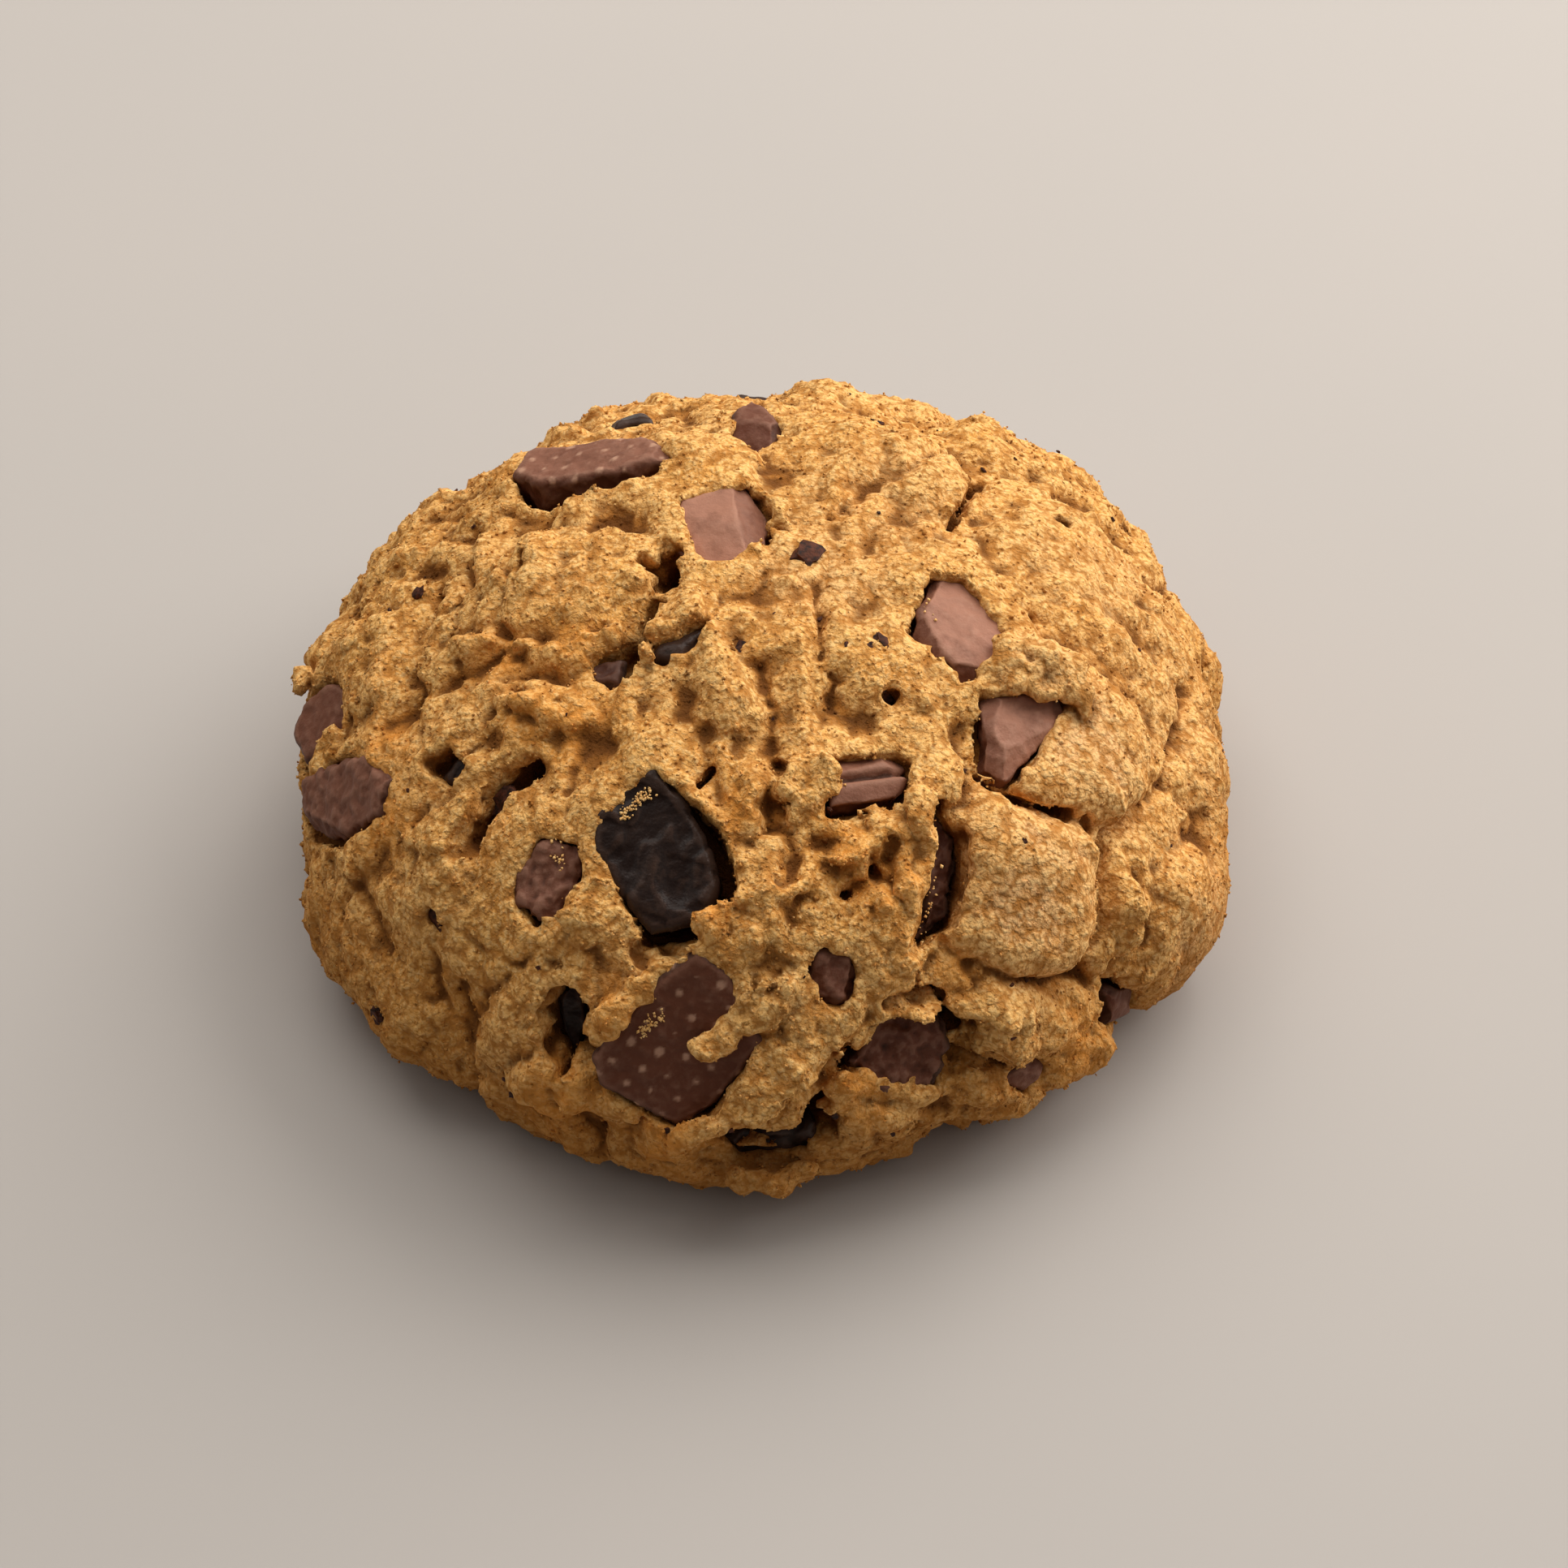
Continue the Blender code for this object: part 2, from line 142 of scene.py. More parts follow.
# Soft valleys: (half width, depth, places along the valley)
VALLEYS = (
    (1.5, 2.0, ((-17.5, -9), (-18.5, -11), (-20.5, -15), (-22.5, -19.5), (-24.5, -23))),
    (2.2, 1.6, ((-36.5, 12.5), (-30.8, 8.5), (-24, 10.2))),
    (0.8, 1.8, ((19, -77.5), (27, -75.5), (34, -74), (41, -72.5))),
    (1.4, 1.6, ((26, -88), (36, -86), (46, -81))),
    (0.6, 1.0, ((34, -37.5), (38, -39.5), (42, -39), (46, -38.5), (49.5, -38.5))),
    (0.8, 1.5, ((52.5, -39.8), (57, -35.2), (63.2, -27.8), (67, -21.5), (69, -12), (70.8, -2.2))),
    (0.9, 1.6, ((53.2, -39.8), (53.5, -44), (53, -49), (52.2, -54.5), (50.5, -58.8))),
    (1.0, 2.2, ((26, -42.8), (26.2, -46.5), (28.2, -48.8), (26.2, -52.5), (24.5, -57.5), (22.8, -60))),
    (0.8, 1.0, ((24, -66), (32, -64), (40, -62), (47, -60), (52, -58))),
    (1.1, 2.4, ((14, -71), (19, -67.5), (24, -66), (29, -66.5), (31, -70), (32, -72))),
    (0.9, 1.6, ((30, -75), (36, -75), (43, -73.5), (50, -70))),
    (0.7, 1.2, ((30, -81), (38, -80), (46, -76))),
    (0.8, 1.6, ((-1, -50), (3, -45))),
    (1.1, 2.4, ((18, -49.8), (14.5, -53), (11.5, -56))),
    (0.9, 1.5, ((13, -47.3), (7.5, -51), (3, -53.3))),
    (0.8, 0.9, ((-2, -25), (-3, -19))),
    (1.2, 1.2, ((4, -30), (4, -38))),
    (0.6, 1.4, ((20.5, -26), (20, -31), (21, -36))),
    (1.1, 1.3, ((-47.5, 15.5), (-48.8, 2.5), (-48.8, -7.8), (-50, -17.5))),
    (1.2, 1.6, ((-54.2, 12.8), (-54.5, -2.8), (-56.5, -18))),
    (0.9, 1.1, ((-40, 10), (-41, -1), (-41, -12), (-40, -15))),
    (1.7, 1.4, ((-40, -18), (-33, -19.5), (-25, -19))),
    (1.0, 1.4, ((36, 31), (37.2, 21.2), (34.8, 11.5))),
    (0.9, 1.2, ((31.5, 34.5), (22.5, 20.8), (14.8, 13), (12, 10.5))),
    (0.9, 1.0, ((43.2, 4), (43.2, -0.2), (43.5, -7), (45, -11))),
    (1.5, 0.8, ((3, 22), (1, 17), (1, 12))),
    (0.9, 1.2, ((24, 42), (28, 36), (33, 31))),
    (1.0, 1.6, ((34, 52), (44, 54), (55, 60))),
    (1.0, 1.6, ((-36, 50), (-42, 60), (-46, 66))),
    (0.8, 1.6, ((10, 58), (12, 70), (4, 80))),
    (0.8, 1.4, ((66, 20), (72, 30), (66, 40))),
    (7.0, 2.2, ((-22, -100), (5, -104), (32, -99))),
)

# Gaps with sharp edges: (half width, depth, lean, places along the gap). The lean is how far the gap's bottom
# lies under the dough on its left, or below 0 on its right.
GAPS = (
    (1.3, 4.5, 0.0, ((-15.5, 0.5), (-16.2, -2.8), (-15, -6))),
    (0.7, 3.0, 0.0, ((-16.2, -2.5), (-19.5, -0.5))),
    (1.5, 5.5, 2.0, ((-18.5, -11), (-20.5, -15), (-22.5, -19.5), (-24.5, -23))),
    (
        0.45, 3.0, 0.5,
        ((32.8, -37.8), (35.2, -38.2), (37.2, -39), (40.2, -39.2), (43.5, -38.8), (47.2, -38.2)),
    ),
    (0.5, 2.4, 0.0, ((49, -37), (50.5, -39))),
    (0.4, 1.6, 0.8, ((52.5, -39.8), (57, -35.2), (63.2, -27.8))),
    (0.5, 2.4, -0.8, ((53.2, -39.8), (53.5, -44), (53, -49), (52.2, -54.5))),
    (0.6, 3.4, 0.8, ((26, -42.8), (26.2, -46.5), (28.2, -48.8), (26.2, -52.5), (24.5, -57.5), (22.8, -60))),
    (0.4, 2.6, 0.0, ((22.5, -63), (23.5, -65))),
    (0.7, 3.6, 0.5, ((19, -67.2), (27.2, -66), (28.2, -68.5), (27.5, -72))),
    (0.4, 2.4, 0.0, ((-7.2, -40.2), (-10.2, -43))),
    (0.3, 1.0, 0.3, ((-41.5, -21.2), (-36.8, -23.2), (-32.8, -24.2))),
    (0.4, 1.8, 0.0, ((32.2, 16.5), (32, 10.5), (33.8, 8.8))),
    (0.35, 2.0, 0.0, ((43.3, -6), (44, -9))),
    (0.8, 4.0, 1.0, ((2.8, -78), (7.5, -76.5), (13.2, -73))),
    (0.9, 4.5, 0.0, ((7.8, -81.5), (12.5, -77), (14.8, -74.8))),
    (1.4, 4.5, 0.0, ((-7, -59.5), (-12.2, -61), (-17, -61))),
    (1.9, 4.0, 0.0, ((-29, -66), (-31, -70), (-26, -72))),
    (0.6, 2.6, 0.0, ((10.5, -46.2), (14.5, -45.6), (19, -44))),
    (0.3, 2.4, 0.0, ((4, -45), (0.8, -49))),
    (0.5, 2.0, 0.0, ((-8.5, -68), (-14, -67))),
    (1.2, 3.6, 0.0, ((-36.5, -35), (-41, -37), (-45, -43.5))),
    (0.5, 2.5, 0.6, ((19, -77.5), (27, -75.5), (34, -74), (41, -72.5))),
    (0.5, 2.2, 0.5, ((28, -86), (36, -84), (44, -80))),
    (0.4, 2.0, 0.4, ((-54.2, 8), (-54.5, -2.8), (-55.5, -10))),
    (0.35, 1.6, 0.3, ((-37.5, 4), (-38.5, -4))),
    (0.5, 2.4, 0.3, ((35.8, 26.8), (33.8, 19.5), (32.2, 12.5))),
)

# Ledges, high on the left of the way they run: (rise, reach, places along the edge)
LEDGES = (
    (1.8, 4.5, ((-8, -82), (-3, -82), (4, -79.5), (6, -77), (12, -74), (20, -69), (30, -68))),
    (1.6, 3.5, ((-7, -58), (-4, -55), (-5, -50), (-9, -44), (-13, -40))),
    (1.5, 3.5, ((-25, -15), (-30, -15.5), (-36, -15), (-41, -12))),
    (1.3, 4.0, ((24, -62), (24.5, -54.5), (26.3, -50), (26.5, -44), (28, -41))),
    (0.9, 3.0, ((-19, 19), (-26, 18), (-33, 14), (-37, 11))),
    (0.8, 2.5, ((-12, -1), (-8, -4), (-2, 0), (2, 5), (3, 10))),
)

# Crests: (half width, rise, places along the crest)
CRESTS = (
    (0.9, 2.6, ((5, -55), (9, -52), (13, -49.6), (19, -47.3))),
    (0.8, 1.0, ((20.8, -40.8), (22.5, -45), (24.5, -49), (24, -53))),
    (0.9, 1.0, ((-2, -44), (5, -40), (10, -38))),
    (1.1, 0.9, ((-4, -56), (-4, -46), (-6, -36), (-3, -29))),
    (0.9, 0.9, ((30, -27), (29, -34), (27, -39))),
    (0.8, 0.8, ((-48, -33), (-42, -32), (-38, -30))),
    (1.0, 0.8, ((-56, -36), (-50, -40), (-46, -44))),
)

# Pits: (east, north, radius, depth)
PITS = (
    (2.6, 8, 1.3, 3.0),
    (4.5, 34, 1.1, 2.2),
    (-8.5, 36, 1.0, 2.0),
    (12, 11, 0.5, 1.2),
    (36, 27, 1.1, 2.4),
    (45.5, 29.5, 1.2, 2.2),
    (47.8, 17.2, 1.2, 2.4),
    (20, -27.8, 0.9, 2.3),
    (26, -44.5, 1.1, 3.0),
    (-50.8, -50.5, 1.4, 1.2),
    (16.5, -52.6, 0.9, 2.2),
    (12.2, -56.2, 0.7, 2.0),
    (2.5, -40.2, 0.9, 1.8),
    (31, -70, 1.8, 4.2),
    (1, -84.5, 2.2, 5.0),
    (5, -84.5, 2.4, 5.5),
    (9, -84, 2.6, 5.0),
    (-4, -85, 1.8, 4.0),
    (61, -59, 2.4, 4.0),
    (60, 62, 1.2, 2.0),
    (-14, 70, 1.4, 2.4),
    (30, 82, 1.6, 2.4),
    (-54, 62, 1.2, 2.0),
)

# Tongues of dough that lap over the chunks: (radius, height of its middle over the crust, places along it)
TONGUES = (
    (0.9, 0.5, ((-12.5, 15.5), (-9, 16.5), (-5, 16.8))),
    (0.7, 0.3, ((-14.3, 12), (-14.6, 7))),
    (1.7, 0.3, ((4, -67), (0, -68.5))),
    (1.2, 0.8, ((0, -68.5), (-4, -70.5))),
    (0.8, 1.0, ((-4, -70.5), (-8, -72))),
    (1.4, 0.9, ((37, -16), (41, -17), (45, -17.5))),
    (1.0, 0.9, ((35, -20), (38, -19))),
    (1.2, 0.6, ((38, -21.5), (43, -20), (47, -20.5))),
    (1.0, 0.7, ((-24, -70), (-21, -67))),
    (0.8, 0.9, ((-21, -67), (-16, -64.5))),
    (0.9, 0.6, ((22.5, -42), (21.5, -45))),
    (0.8, 0.4, ((9.5, -40), (9.8, -43))),
    (0.9, 0.6, ((-5, -58), (-7.5, -58.5))),
    (1.3, 0.2, ((13, -78), (19, -78.5))),
    (1.0, 0.3, ((21, -78.8), (27, -78))),
    (1.3, 0.4, ((-71, -12), (-73, -16))),
    (1.0, 0.6, ((-12, -82), (-8, -80.5))),
    (0.9, 0.5, ((-2, -82), (4, -81))),
    (1.0, 0.0, ((-5, -90), (2, -90.5), (7, -90))),
    (0.7, 0.6, ((-27, -56), (-24, -53))),
    (0.8, 1.3, ((-73.5, 2), (-74, 3))),
)

# Places where the crust is toasted orange: (east, north, radius in degrees)
TOASTED_PLACES = (
    (20, -50, 4),
    (16, -54, 3),
    (12, -50, 3),
    (-36, -27, 4),
    (-29, -30, 5),
    (-60, -20, 5),
    (-58, -34, 5),
    (-32, -76, 6),
    (-36, -79, 5),
    (-21, -67, 4),
    (43, -94, 6),
    (54, -66, 6),
    (15, -78, 5),
    (-4, -46, 4),
    (-58, -24, 4),
    (-42, -14, 5),
    (-30, -16, 5),
    (-6, -56, 3),
    (-15, -82, 6),
    (4, -102, 5),
    (64, -79, 5),
    (29, -62, 3),
)

# Bits of chocolate in the crust: (east, north, height of the middle over the crust, length, width)
FLECKS = (
    (7.8, 0, 0.1, 3.0, 2.6),
    (19, -19, 0.1, 2.4, 1.0),
    (17.5, -20, 0.1, 1.4, 0.7),
    (-3.5, -21, 0.0, 2.0, 1.2),
    (20, -27.8, -1.2, 1.8, 1.4),
    (-3.2, -30, 0.0, 0.8, 0.5),
    (-23.5, 38.8, 0.0, 2.5, 1.5),
    (18.8, 39.8, 0.1, 2.5, 1.2),
    (-56.8, 8, 0.1, 3.2, 1.5),
    (-60, 5, 0.0, 1.6, 1.0),
    (-67, -57.5, 0.1, 2.2, 1.6),
    (-71.2, -73.8, 0.0, 2.0, 1.2),
    (-50.8, -50.5, -0.9, 3.0, 1.8),
    (-41, -38.5, -2.2, 3.4, 2.2),
    (-29.2, -63, 0.0, 1.0, 0.7),
    (-33, -61.2, 0.0, 0.9, 0.6),
    (45.5, 29.5, -0.9, 1.6, 1.2),
    (47.8, 17.2, -1.0, 1.8, 1.4),
    (12, 11, -0.7, 0.9, 0.8),
    (2.5, -14, 0.0, 0.7, 0.5),
    (9.8, -14, 0.0, 0.6, 0.4),
    (7.8, -48.2, 0.0, 1.4, 0.6),
    (12.2, -57, -0.1, 1.2, 0.8),
    (37, -44.5, 0.0, 1.0, 0.4),
    (66, -34, 0.0, 1.2, 0.4),
    (33, 9, -0.4, 1.2, 0.8),
)
RANDOM_FLECKS = 90
FLECK_SIZES = (0.16, 0.55)
FLECKS_FROM = 3  # mm above the floor

# Streaks of crumbs that lie on chunks: (chunk, crumbs, places along the streak)
CRUMB_STREAKS = (
    ("dark_chunk_front", 90, ((-20.2, -45.2), (-16.4, -42.3))),
    ("milk_chunk_front", 70, ((-17.5, -70.2), (-14, -68.3))),
    ("milk_chunk_front_left", 20, ((-31, -46), (-29, -50))),
    ("milk_chunk_right", 8, ((24, -7), (27, -12))),
    ("milk_chunk_small", 25, ((5, -58.5), (7, -61.5))),
    ("milk_chunk_fold", 22, ((23.5, -60), (25, -50))),
)
STREAK_SPREAD = 0.45  # degrees

# Grains: (piece, how many, their sizes, how deep they sit as a share of their size, seed)
CRUST_GRAINS = (
    ("crust_crumbs", 22000, (0.10, 0.22), 0.6, 91),
    ("crust_clusters", 24000, (0.18, 0.36), 0.9, 97),
)
LOOSE_GRAIN_SIZES = (0.08, 0.18)
LOOSE_GRAIN_DEPTH = -0.3
LOOSE_GRAIN_SEED = 94
GRAINS_FROM = 0.6  # mm above the floor

# What the dough's material reads from the mesh
CRUST_ATTRIBUTES = ("hollow", "deep", "low", "rugged", "sunk", "toasted")

# How rugged the crust is: (east, north, radius in degrees, ruggedness)
PLAIN_RUGGEDNESS = 0.8
RUGGEDNESS = (
    (39, -50, 14, 0.25),
    (48, -27, 14, 0.3),
    (42, -17, 8, 0.4),
    (76, -40, 14, 0.35),
    (74, -12, 18, 0.5),
    (55, 10, 20, 0.5),
    (20, 15, 20, 0.5),
    (-10, 30, 16, 0.6),
    (8, -8, 16, 0.45),
    (6, -27, 12, 0.75),
    (-10, -22, 10, 0.8),
    (42, -80, 13, 1.0),
    (-30, -88, 14, 1.0),
    (-33, -3, 12, 0.6),
    (-50, -20, 12, 0.9),
    (-50, -50, 16, 0.75),
    (10, -50, 14, 1.1),
    (2, -70, 12, 1.15),
)


class Look(NamedTuple):
    """How a chunk is broken, and how the dough meets it, in mm."""

    rough: float = 0.12  # unevenness of its faces
    ragged: float = 0.35  # unevenness of its outline and of the edge of the dough
    gap: float = 0.0  # clearance all round it
    opens: tuple = (300, 0.4)  # compass direction, and how much wider the clearance is on that side
    depth: float = 2.6  # how far the clearance goes down beside it
    seat: float = 0.6  # share of the level of the dough beside it that follows its face
    shade: float = 0.38  # from dark (0) to pale (1): paler with bloom, and with painted light on chunks that face the lamps
    finish: str = "plain"  # plain, dotted, grooved or flaky
    chips: int = 4  # corners and edges that are flattened
    bevels: tuple = ()  # slanting facets: (compass direction, slope in degrees, distance from its middle)


CHUNK_LOOKS = {
    "milk_chunk_crown_left": Look(opens=(258, 3.4), depth=7.0, seat=0.5, shade=0.6, finish="dotted", chips=2),
    "milk_chunk_crown": Look(
        rough=0.06, ragged=0.45, opens=(10, 0.9), seat=0.9, shade=1.0, bevels=((5, 42, 1.2), (250, 14, 0.5))
    ),
    "milk_chunk_crown_back": Look(opens=(270, 1.0), seat=0.3, shade=0.35, bevels=((250, 35, 0.3),)),
    "milk_chunk_right": Look(
        rough=0.08, ragged=0.7, opens=(205, 0.9), seat=0.9, shade=0.95, bevels=((205, 50, 3.2), (60, 10, 0))
    ),
    "milk_chunk_right_low": Look(
        ragged=0.55, opens=(215, 1.0), seat=0.9, shade=0.95, bevels=((220, 40, 3.4), (25, 14, 2.5))
    ),
    "milk_chunk_ridged": Look(
        rough=0.06, ragged=0.3, opens=(290, 0.8), seat=0.7, shade=0.6, finish="grooved"
    ),
    "milk_chunk_front_left": Look(rough=0.3, gap=0.2, opens=(320, 0.8), shade=0.5),
    "milk_chunk_front": Look(
        rough=0.1, ragged=0.2, opens=(240, 0.7), seat=0.5, shade=0.3, finish="dotted", chips=0
    ),
    "milk_chunk_fold": Look(rough=0.3, gap=0.3, opens=(60, 0.6), seat=0.0, shade=0.25),
    "milk_chunk_left_rim": Look(rough=0.22, ragged=0.5, opens=(195, 1.6), seat=0.4, shade=0.5),
    "milk_chunk_left_rim_high": Look(rough=0.14, opens=(180, 2.4), depth=4.0, seat=0.2, shade=0.4),
    "milk_chunk_small": Look(rough=0.28, ragged=0.5, opens=(200, 0.3), shade=0.3),
    "milk_chunk_crack": Look(rough=0.3, gap=0.3, seat=0.0, shade=0.2),
    "milk_chunk_notch": Look(gap=0.3, seat=0.0, shade=0.3),
    "dark_chunk_base": Look(gap=0.1, opens=(90, 1.4), seat=0.9, shade=0.0, finish="flaky"),
    "dark_chunk_front": Look(
        rough=0.05, ragged=0.1, gap=0.35, opens=(330, 1.5), depth=4.5, shade=0.0, finish="flaky", chips=0
    ),
    "dark_chunk_groove": Look(rough=0.2, ragged=0.6, opens=(60, 1.2), seat=0.3, shade=0.16),
}
MILK_LOOK = Look()
DARK_LOOK = Look(rough=0.08, gap=0.1, seat=0.0, shade=0.0, finish="flaky")

# Chocolate
CHUNK_CELL = 0.25  # mm
DOT_SPACING = 2.0
DOT_ROWS_WAY = (0.55, 0.83, 0.1)
GROOVE_DEPTH = 0.7
GROOVE_HALF_WIDTH = 0.3
GROOVE_WAY = (1.0, 0.25, 0.0)
FLAKE_HEIGHT = 0.13
FLAKE_CRISPNESS = 14
CHIP_LEAN = 1.2  # of the flattened corners, towards the chunk's face
CHIP_DEPTHS = (0.2, 0.7)

# Colours, linear
CRUST_PALE = (0.84, 0.47, 0.155)
CRUST_TOASTED = (0.77, 0.385, 0.10)
CRUST_SMOOTH = (0.82, 0.47, 0.21)
CRUST_BROWN = (0.56, 0.24, 0.045)
# Painted highlight for the crests and tips of the crust
CRUST_TIP_HIGHLIGHT = (0.90, 0.53, 0.18)
CRUST_GRAIN = (0.92, 0.61, 0.26)
CRUST_ORANGE = (0.80, 0.30, 0.045)
# Darker brown towards the floor: partly the crust's own toasting near the base, partly painted shade on the
# lower sides
CRUST_BASE = (0.38, 0.14, 0.022)
CRUST_GAP = (0.42, 0.165, 0.03)
# Browner valleys: partly the crust's own tone, partly painted shade
CRUST_VALLEY_TONE_AND_SHADE = (0.40, 0.15, 0.025)
# Painted shade: the near-black brown put into crevices, deep hollows and the walls of gaps and pits
CREVICE_SHADE = (0.13, 0.045, 0.010)
CHOCOLATE_DARK = (0.018, 0.010, 0.008)
CHOCOLATE_MILK = (0.11, 0.034, 0.017)
# Pale milk chocolate: bloom, and painted light on the chunks that face the lamps
CHOCOLATE_BLOOMED_AND_LIT = (0.36, 0.165, 0.105)
# Pale bloom dust, also used for the painted highlight along convex edges
BLOOM_AND_EDGE_HIGHLIGHT = (0.45, 0.25, 0.17)
BLOOM_DOT = (0.52, 0.30, 0.20)
FLOOR_COLOUR = (0.48, 0.445, 0.415)
FLOOR_OTHER = (0.455, 0.43, 0.405)
FLOOR_HALF = 1.2  # m

# The stage: soft light, most of it low from the back right, and the camera
SKY_COLOUR = (1.0, 0.96, 0.92)
SKY_STRENGTH = 0.03
LIGHT_COLOUR = (1.0, 0.955, 0.905)
LIGHT_AWAY = 0.8
# (name, compass direction and height in degrees, with 0 at +X and 90 at +Y, width in metres, watts)
LIGHTS = (
    ("key", 35, 32, 0.8, 8.4),
    ("back", 100, 60, 0.9, 5.4),
    ("left", 180, 45, 0.8, 1.2),
    ("front", 315, 45, 0.8, 0.9),
)
CAMERA_ELEVATION = 47.0
CAMERA_AWAY = 0.3
CAMERA_TARGET = (0, 0, 0.014)
CAMERA_LENS = 77.67
CAMERA_SHIFT = (0.0145, -0.0357)


class Noise:
    """Gradient noise, about -1 to 1, looked up in one repeating block at a turn and shift of its own."""

    CELLS = 16
    SAMPLES = 8
    block = None

    def __init__(self, seed):
        rng = np.random.default_rng(seed)
        self.turn = np.linalg.qr(rng.normal(size=(3, 3)))[0].astype(np.float32)
        self.shift = rng.uniform(0, self.CELLS, 3).astype(np.float32)
        if Noise.block is None:
            Noise.block = self.make_block()

    def make_block(self):
        count = self.CELLS
        gradients = np.random.default_rng(7).normal(size=(count, count, count, 3))
        gradients /= np.linalg.norm(gradients, axis=-1, keepdims=True)
        part = np.arange(self.SAMPLES) / self.SAMPLES
        ease = part**3 * (part * (part * 6 - 15) + 10)
        total = 0.0
        for corner in np.ndindex(2, 2, 2):
            local = np.roll(gradients, [-c for c in corner], axis=(0, 1, 2))
            weights = [ease if c else 1 - ease for c in corner]
            offsets = [part - c for c in corner]
            weight = np.einsum("i,j,k->ijk", *weights)
            dot = (
                local[..., 0][..., None, None, None] * offsets[0][:, None, None]
                + local[..., 1][..., None, None, None] * offsets[1][None, :, None]
                + local[..., 2][..., None, None, None] * offsets[2][None, None, :]
            )
            total = total + dot * weight
        side = count * self.SAMPLES
        block = 1.7 * total.transpose(0, 3, 1, 4, 2, 5).reshape(side, side, side)
        return block.astype(np.float32).ravel()

    def __call__(self, points, size):
        side = self.CELLS * self.SAMPLES
        places = (points.astype(np.float32) @ self.turn / np.float32(size) + self.shift) * self.SAMPLES
        low = np.floor(places)
        part = places - low
        low = low.astype(np.int32)
        near, far = low & (side - 1), (low + 1) & (side - 1)
        x, y, z = part[..., 0], part[..., 1], part[..., 2]
        along_x = (near[..., 0] * side * side, far[..., 0] * side * side)
        along_y = (near[..., 1] * side, far[..., 1] * side)
        lines = []
        for i, j in ((0, 0), (0, 1), (1, 0), (1, 1)):
            start = along_x[i] + along_y[j]
            first = self.block[start + near[..., 2]]
            lines.append(first + (self.block[start + far[..., 2]] - first) * z)
        below = lines[0] + (lines[1] - lines[0]) * y
        above = lines[2] + (lines[3] - lines[2]) * y
        return below + (above - below) * x


def fractal(noise, points, size, octaves, gain=0.5):
    """Sum of octaves of noise, each half the size of the last."""
    total = 0.0
    strength = 1.0
    for octave in range(octaves):
        total += strength * noise(points + 17.3 * octave, size)
        strength *= gain
        size /= 2.03
    return total


def noise_sum(points, layers):
    return sum(strength * Noise(seed)(points, size) for seed, size, strength in layers)


def noise_vectors(points, layers):
    """Vectors of three sums of noise, whose seeds follow each other."""
    shifted = [[(seed + i, size, strength) for seed, size, strength in layers] for i in range(3)]
    return np.stack([noise_sum(points, ones) for ones in shifted], axis=-1)


def unit(vector):
    return vector / np.linalg.norm(vector)


def smooth_dome(east, north):
    """Points of the dome without its lumps, as seen from its centre on the widest level."""
    crown_angle = np.radians(np.hypot(east, north))
    bearing = np.arctan2(north, east)
    rim = RADIUS * (1 + sum(e * np.cos(n * bearing) + f * np.sin(n * bearing) for n, e, f in RIM_WAVES))
    tall = np.where(crown_angle < math.pi / 2, HEIGHT - WIDEST_AT, UNDERCUT)
    across, up = np.sin(crown_angle), np.cos(crown_angle)
    reach = ((across / rim) ** ROUNDNESS + (np.abs(up) / tall) ** ROUNDNESS) ** (-1 / ROUNDNESS)
    return np.stack([across * np.cos(bearing), across * np.sin(bearing), up], axis=-1) * reach[..., None]


def dome_point(east, north, above=0.0):
    """A point this far above the smooth dome, with the floor at z = 0."""
    point = smooth_dome(np.array(float(east)), np.array(float(north)))
    return point + unit(point) * above + CENTRE


def tangent_frame(east, north):
    """(point, unit east, unit north, unit outward) on the smooth dome."""
    step = 0.5
    here = smooth_dome(np.array(float(east)), np.array(float(north)))
    along_east = smooth_dome(np.array(east + step), np.array(float(north))) - here
    along_north = smooth_dome(np.array(float(east)), np.array(north + step)) - here
    outward = unit(np.cross(along_east, along_north))
    unit_east = unit(along_east)
    return here, unit_east, np.cross(outward, unit_east), outward


def offset_from_line(points, start, end):
    """(share of the way from start to end, offset from there) for the nearest place on a line."""
    along = end - start
    share = np.clip((points - start) @ along / (along @ along), 0, 1)
    return share, points - start - share[..., None] * along


def smooth_max(a, b, softness):
    blend = np.clip(0.5 + 0.5 * (a - b) / softness, 0, 1)
    return b + (a - b) * blend + softness * blend * (1 - blend)


def smooth_min(a, b, softness):
    return -smooth_max(-a, -b, softness)


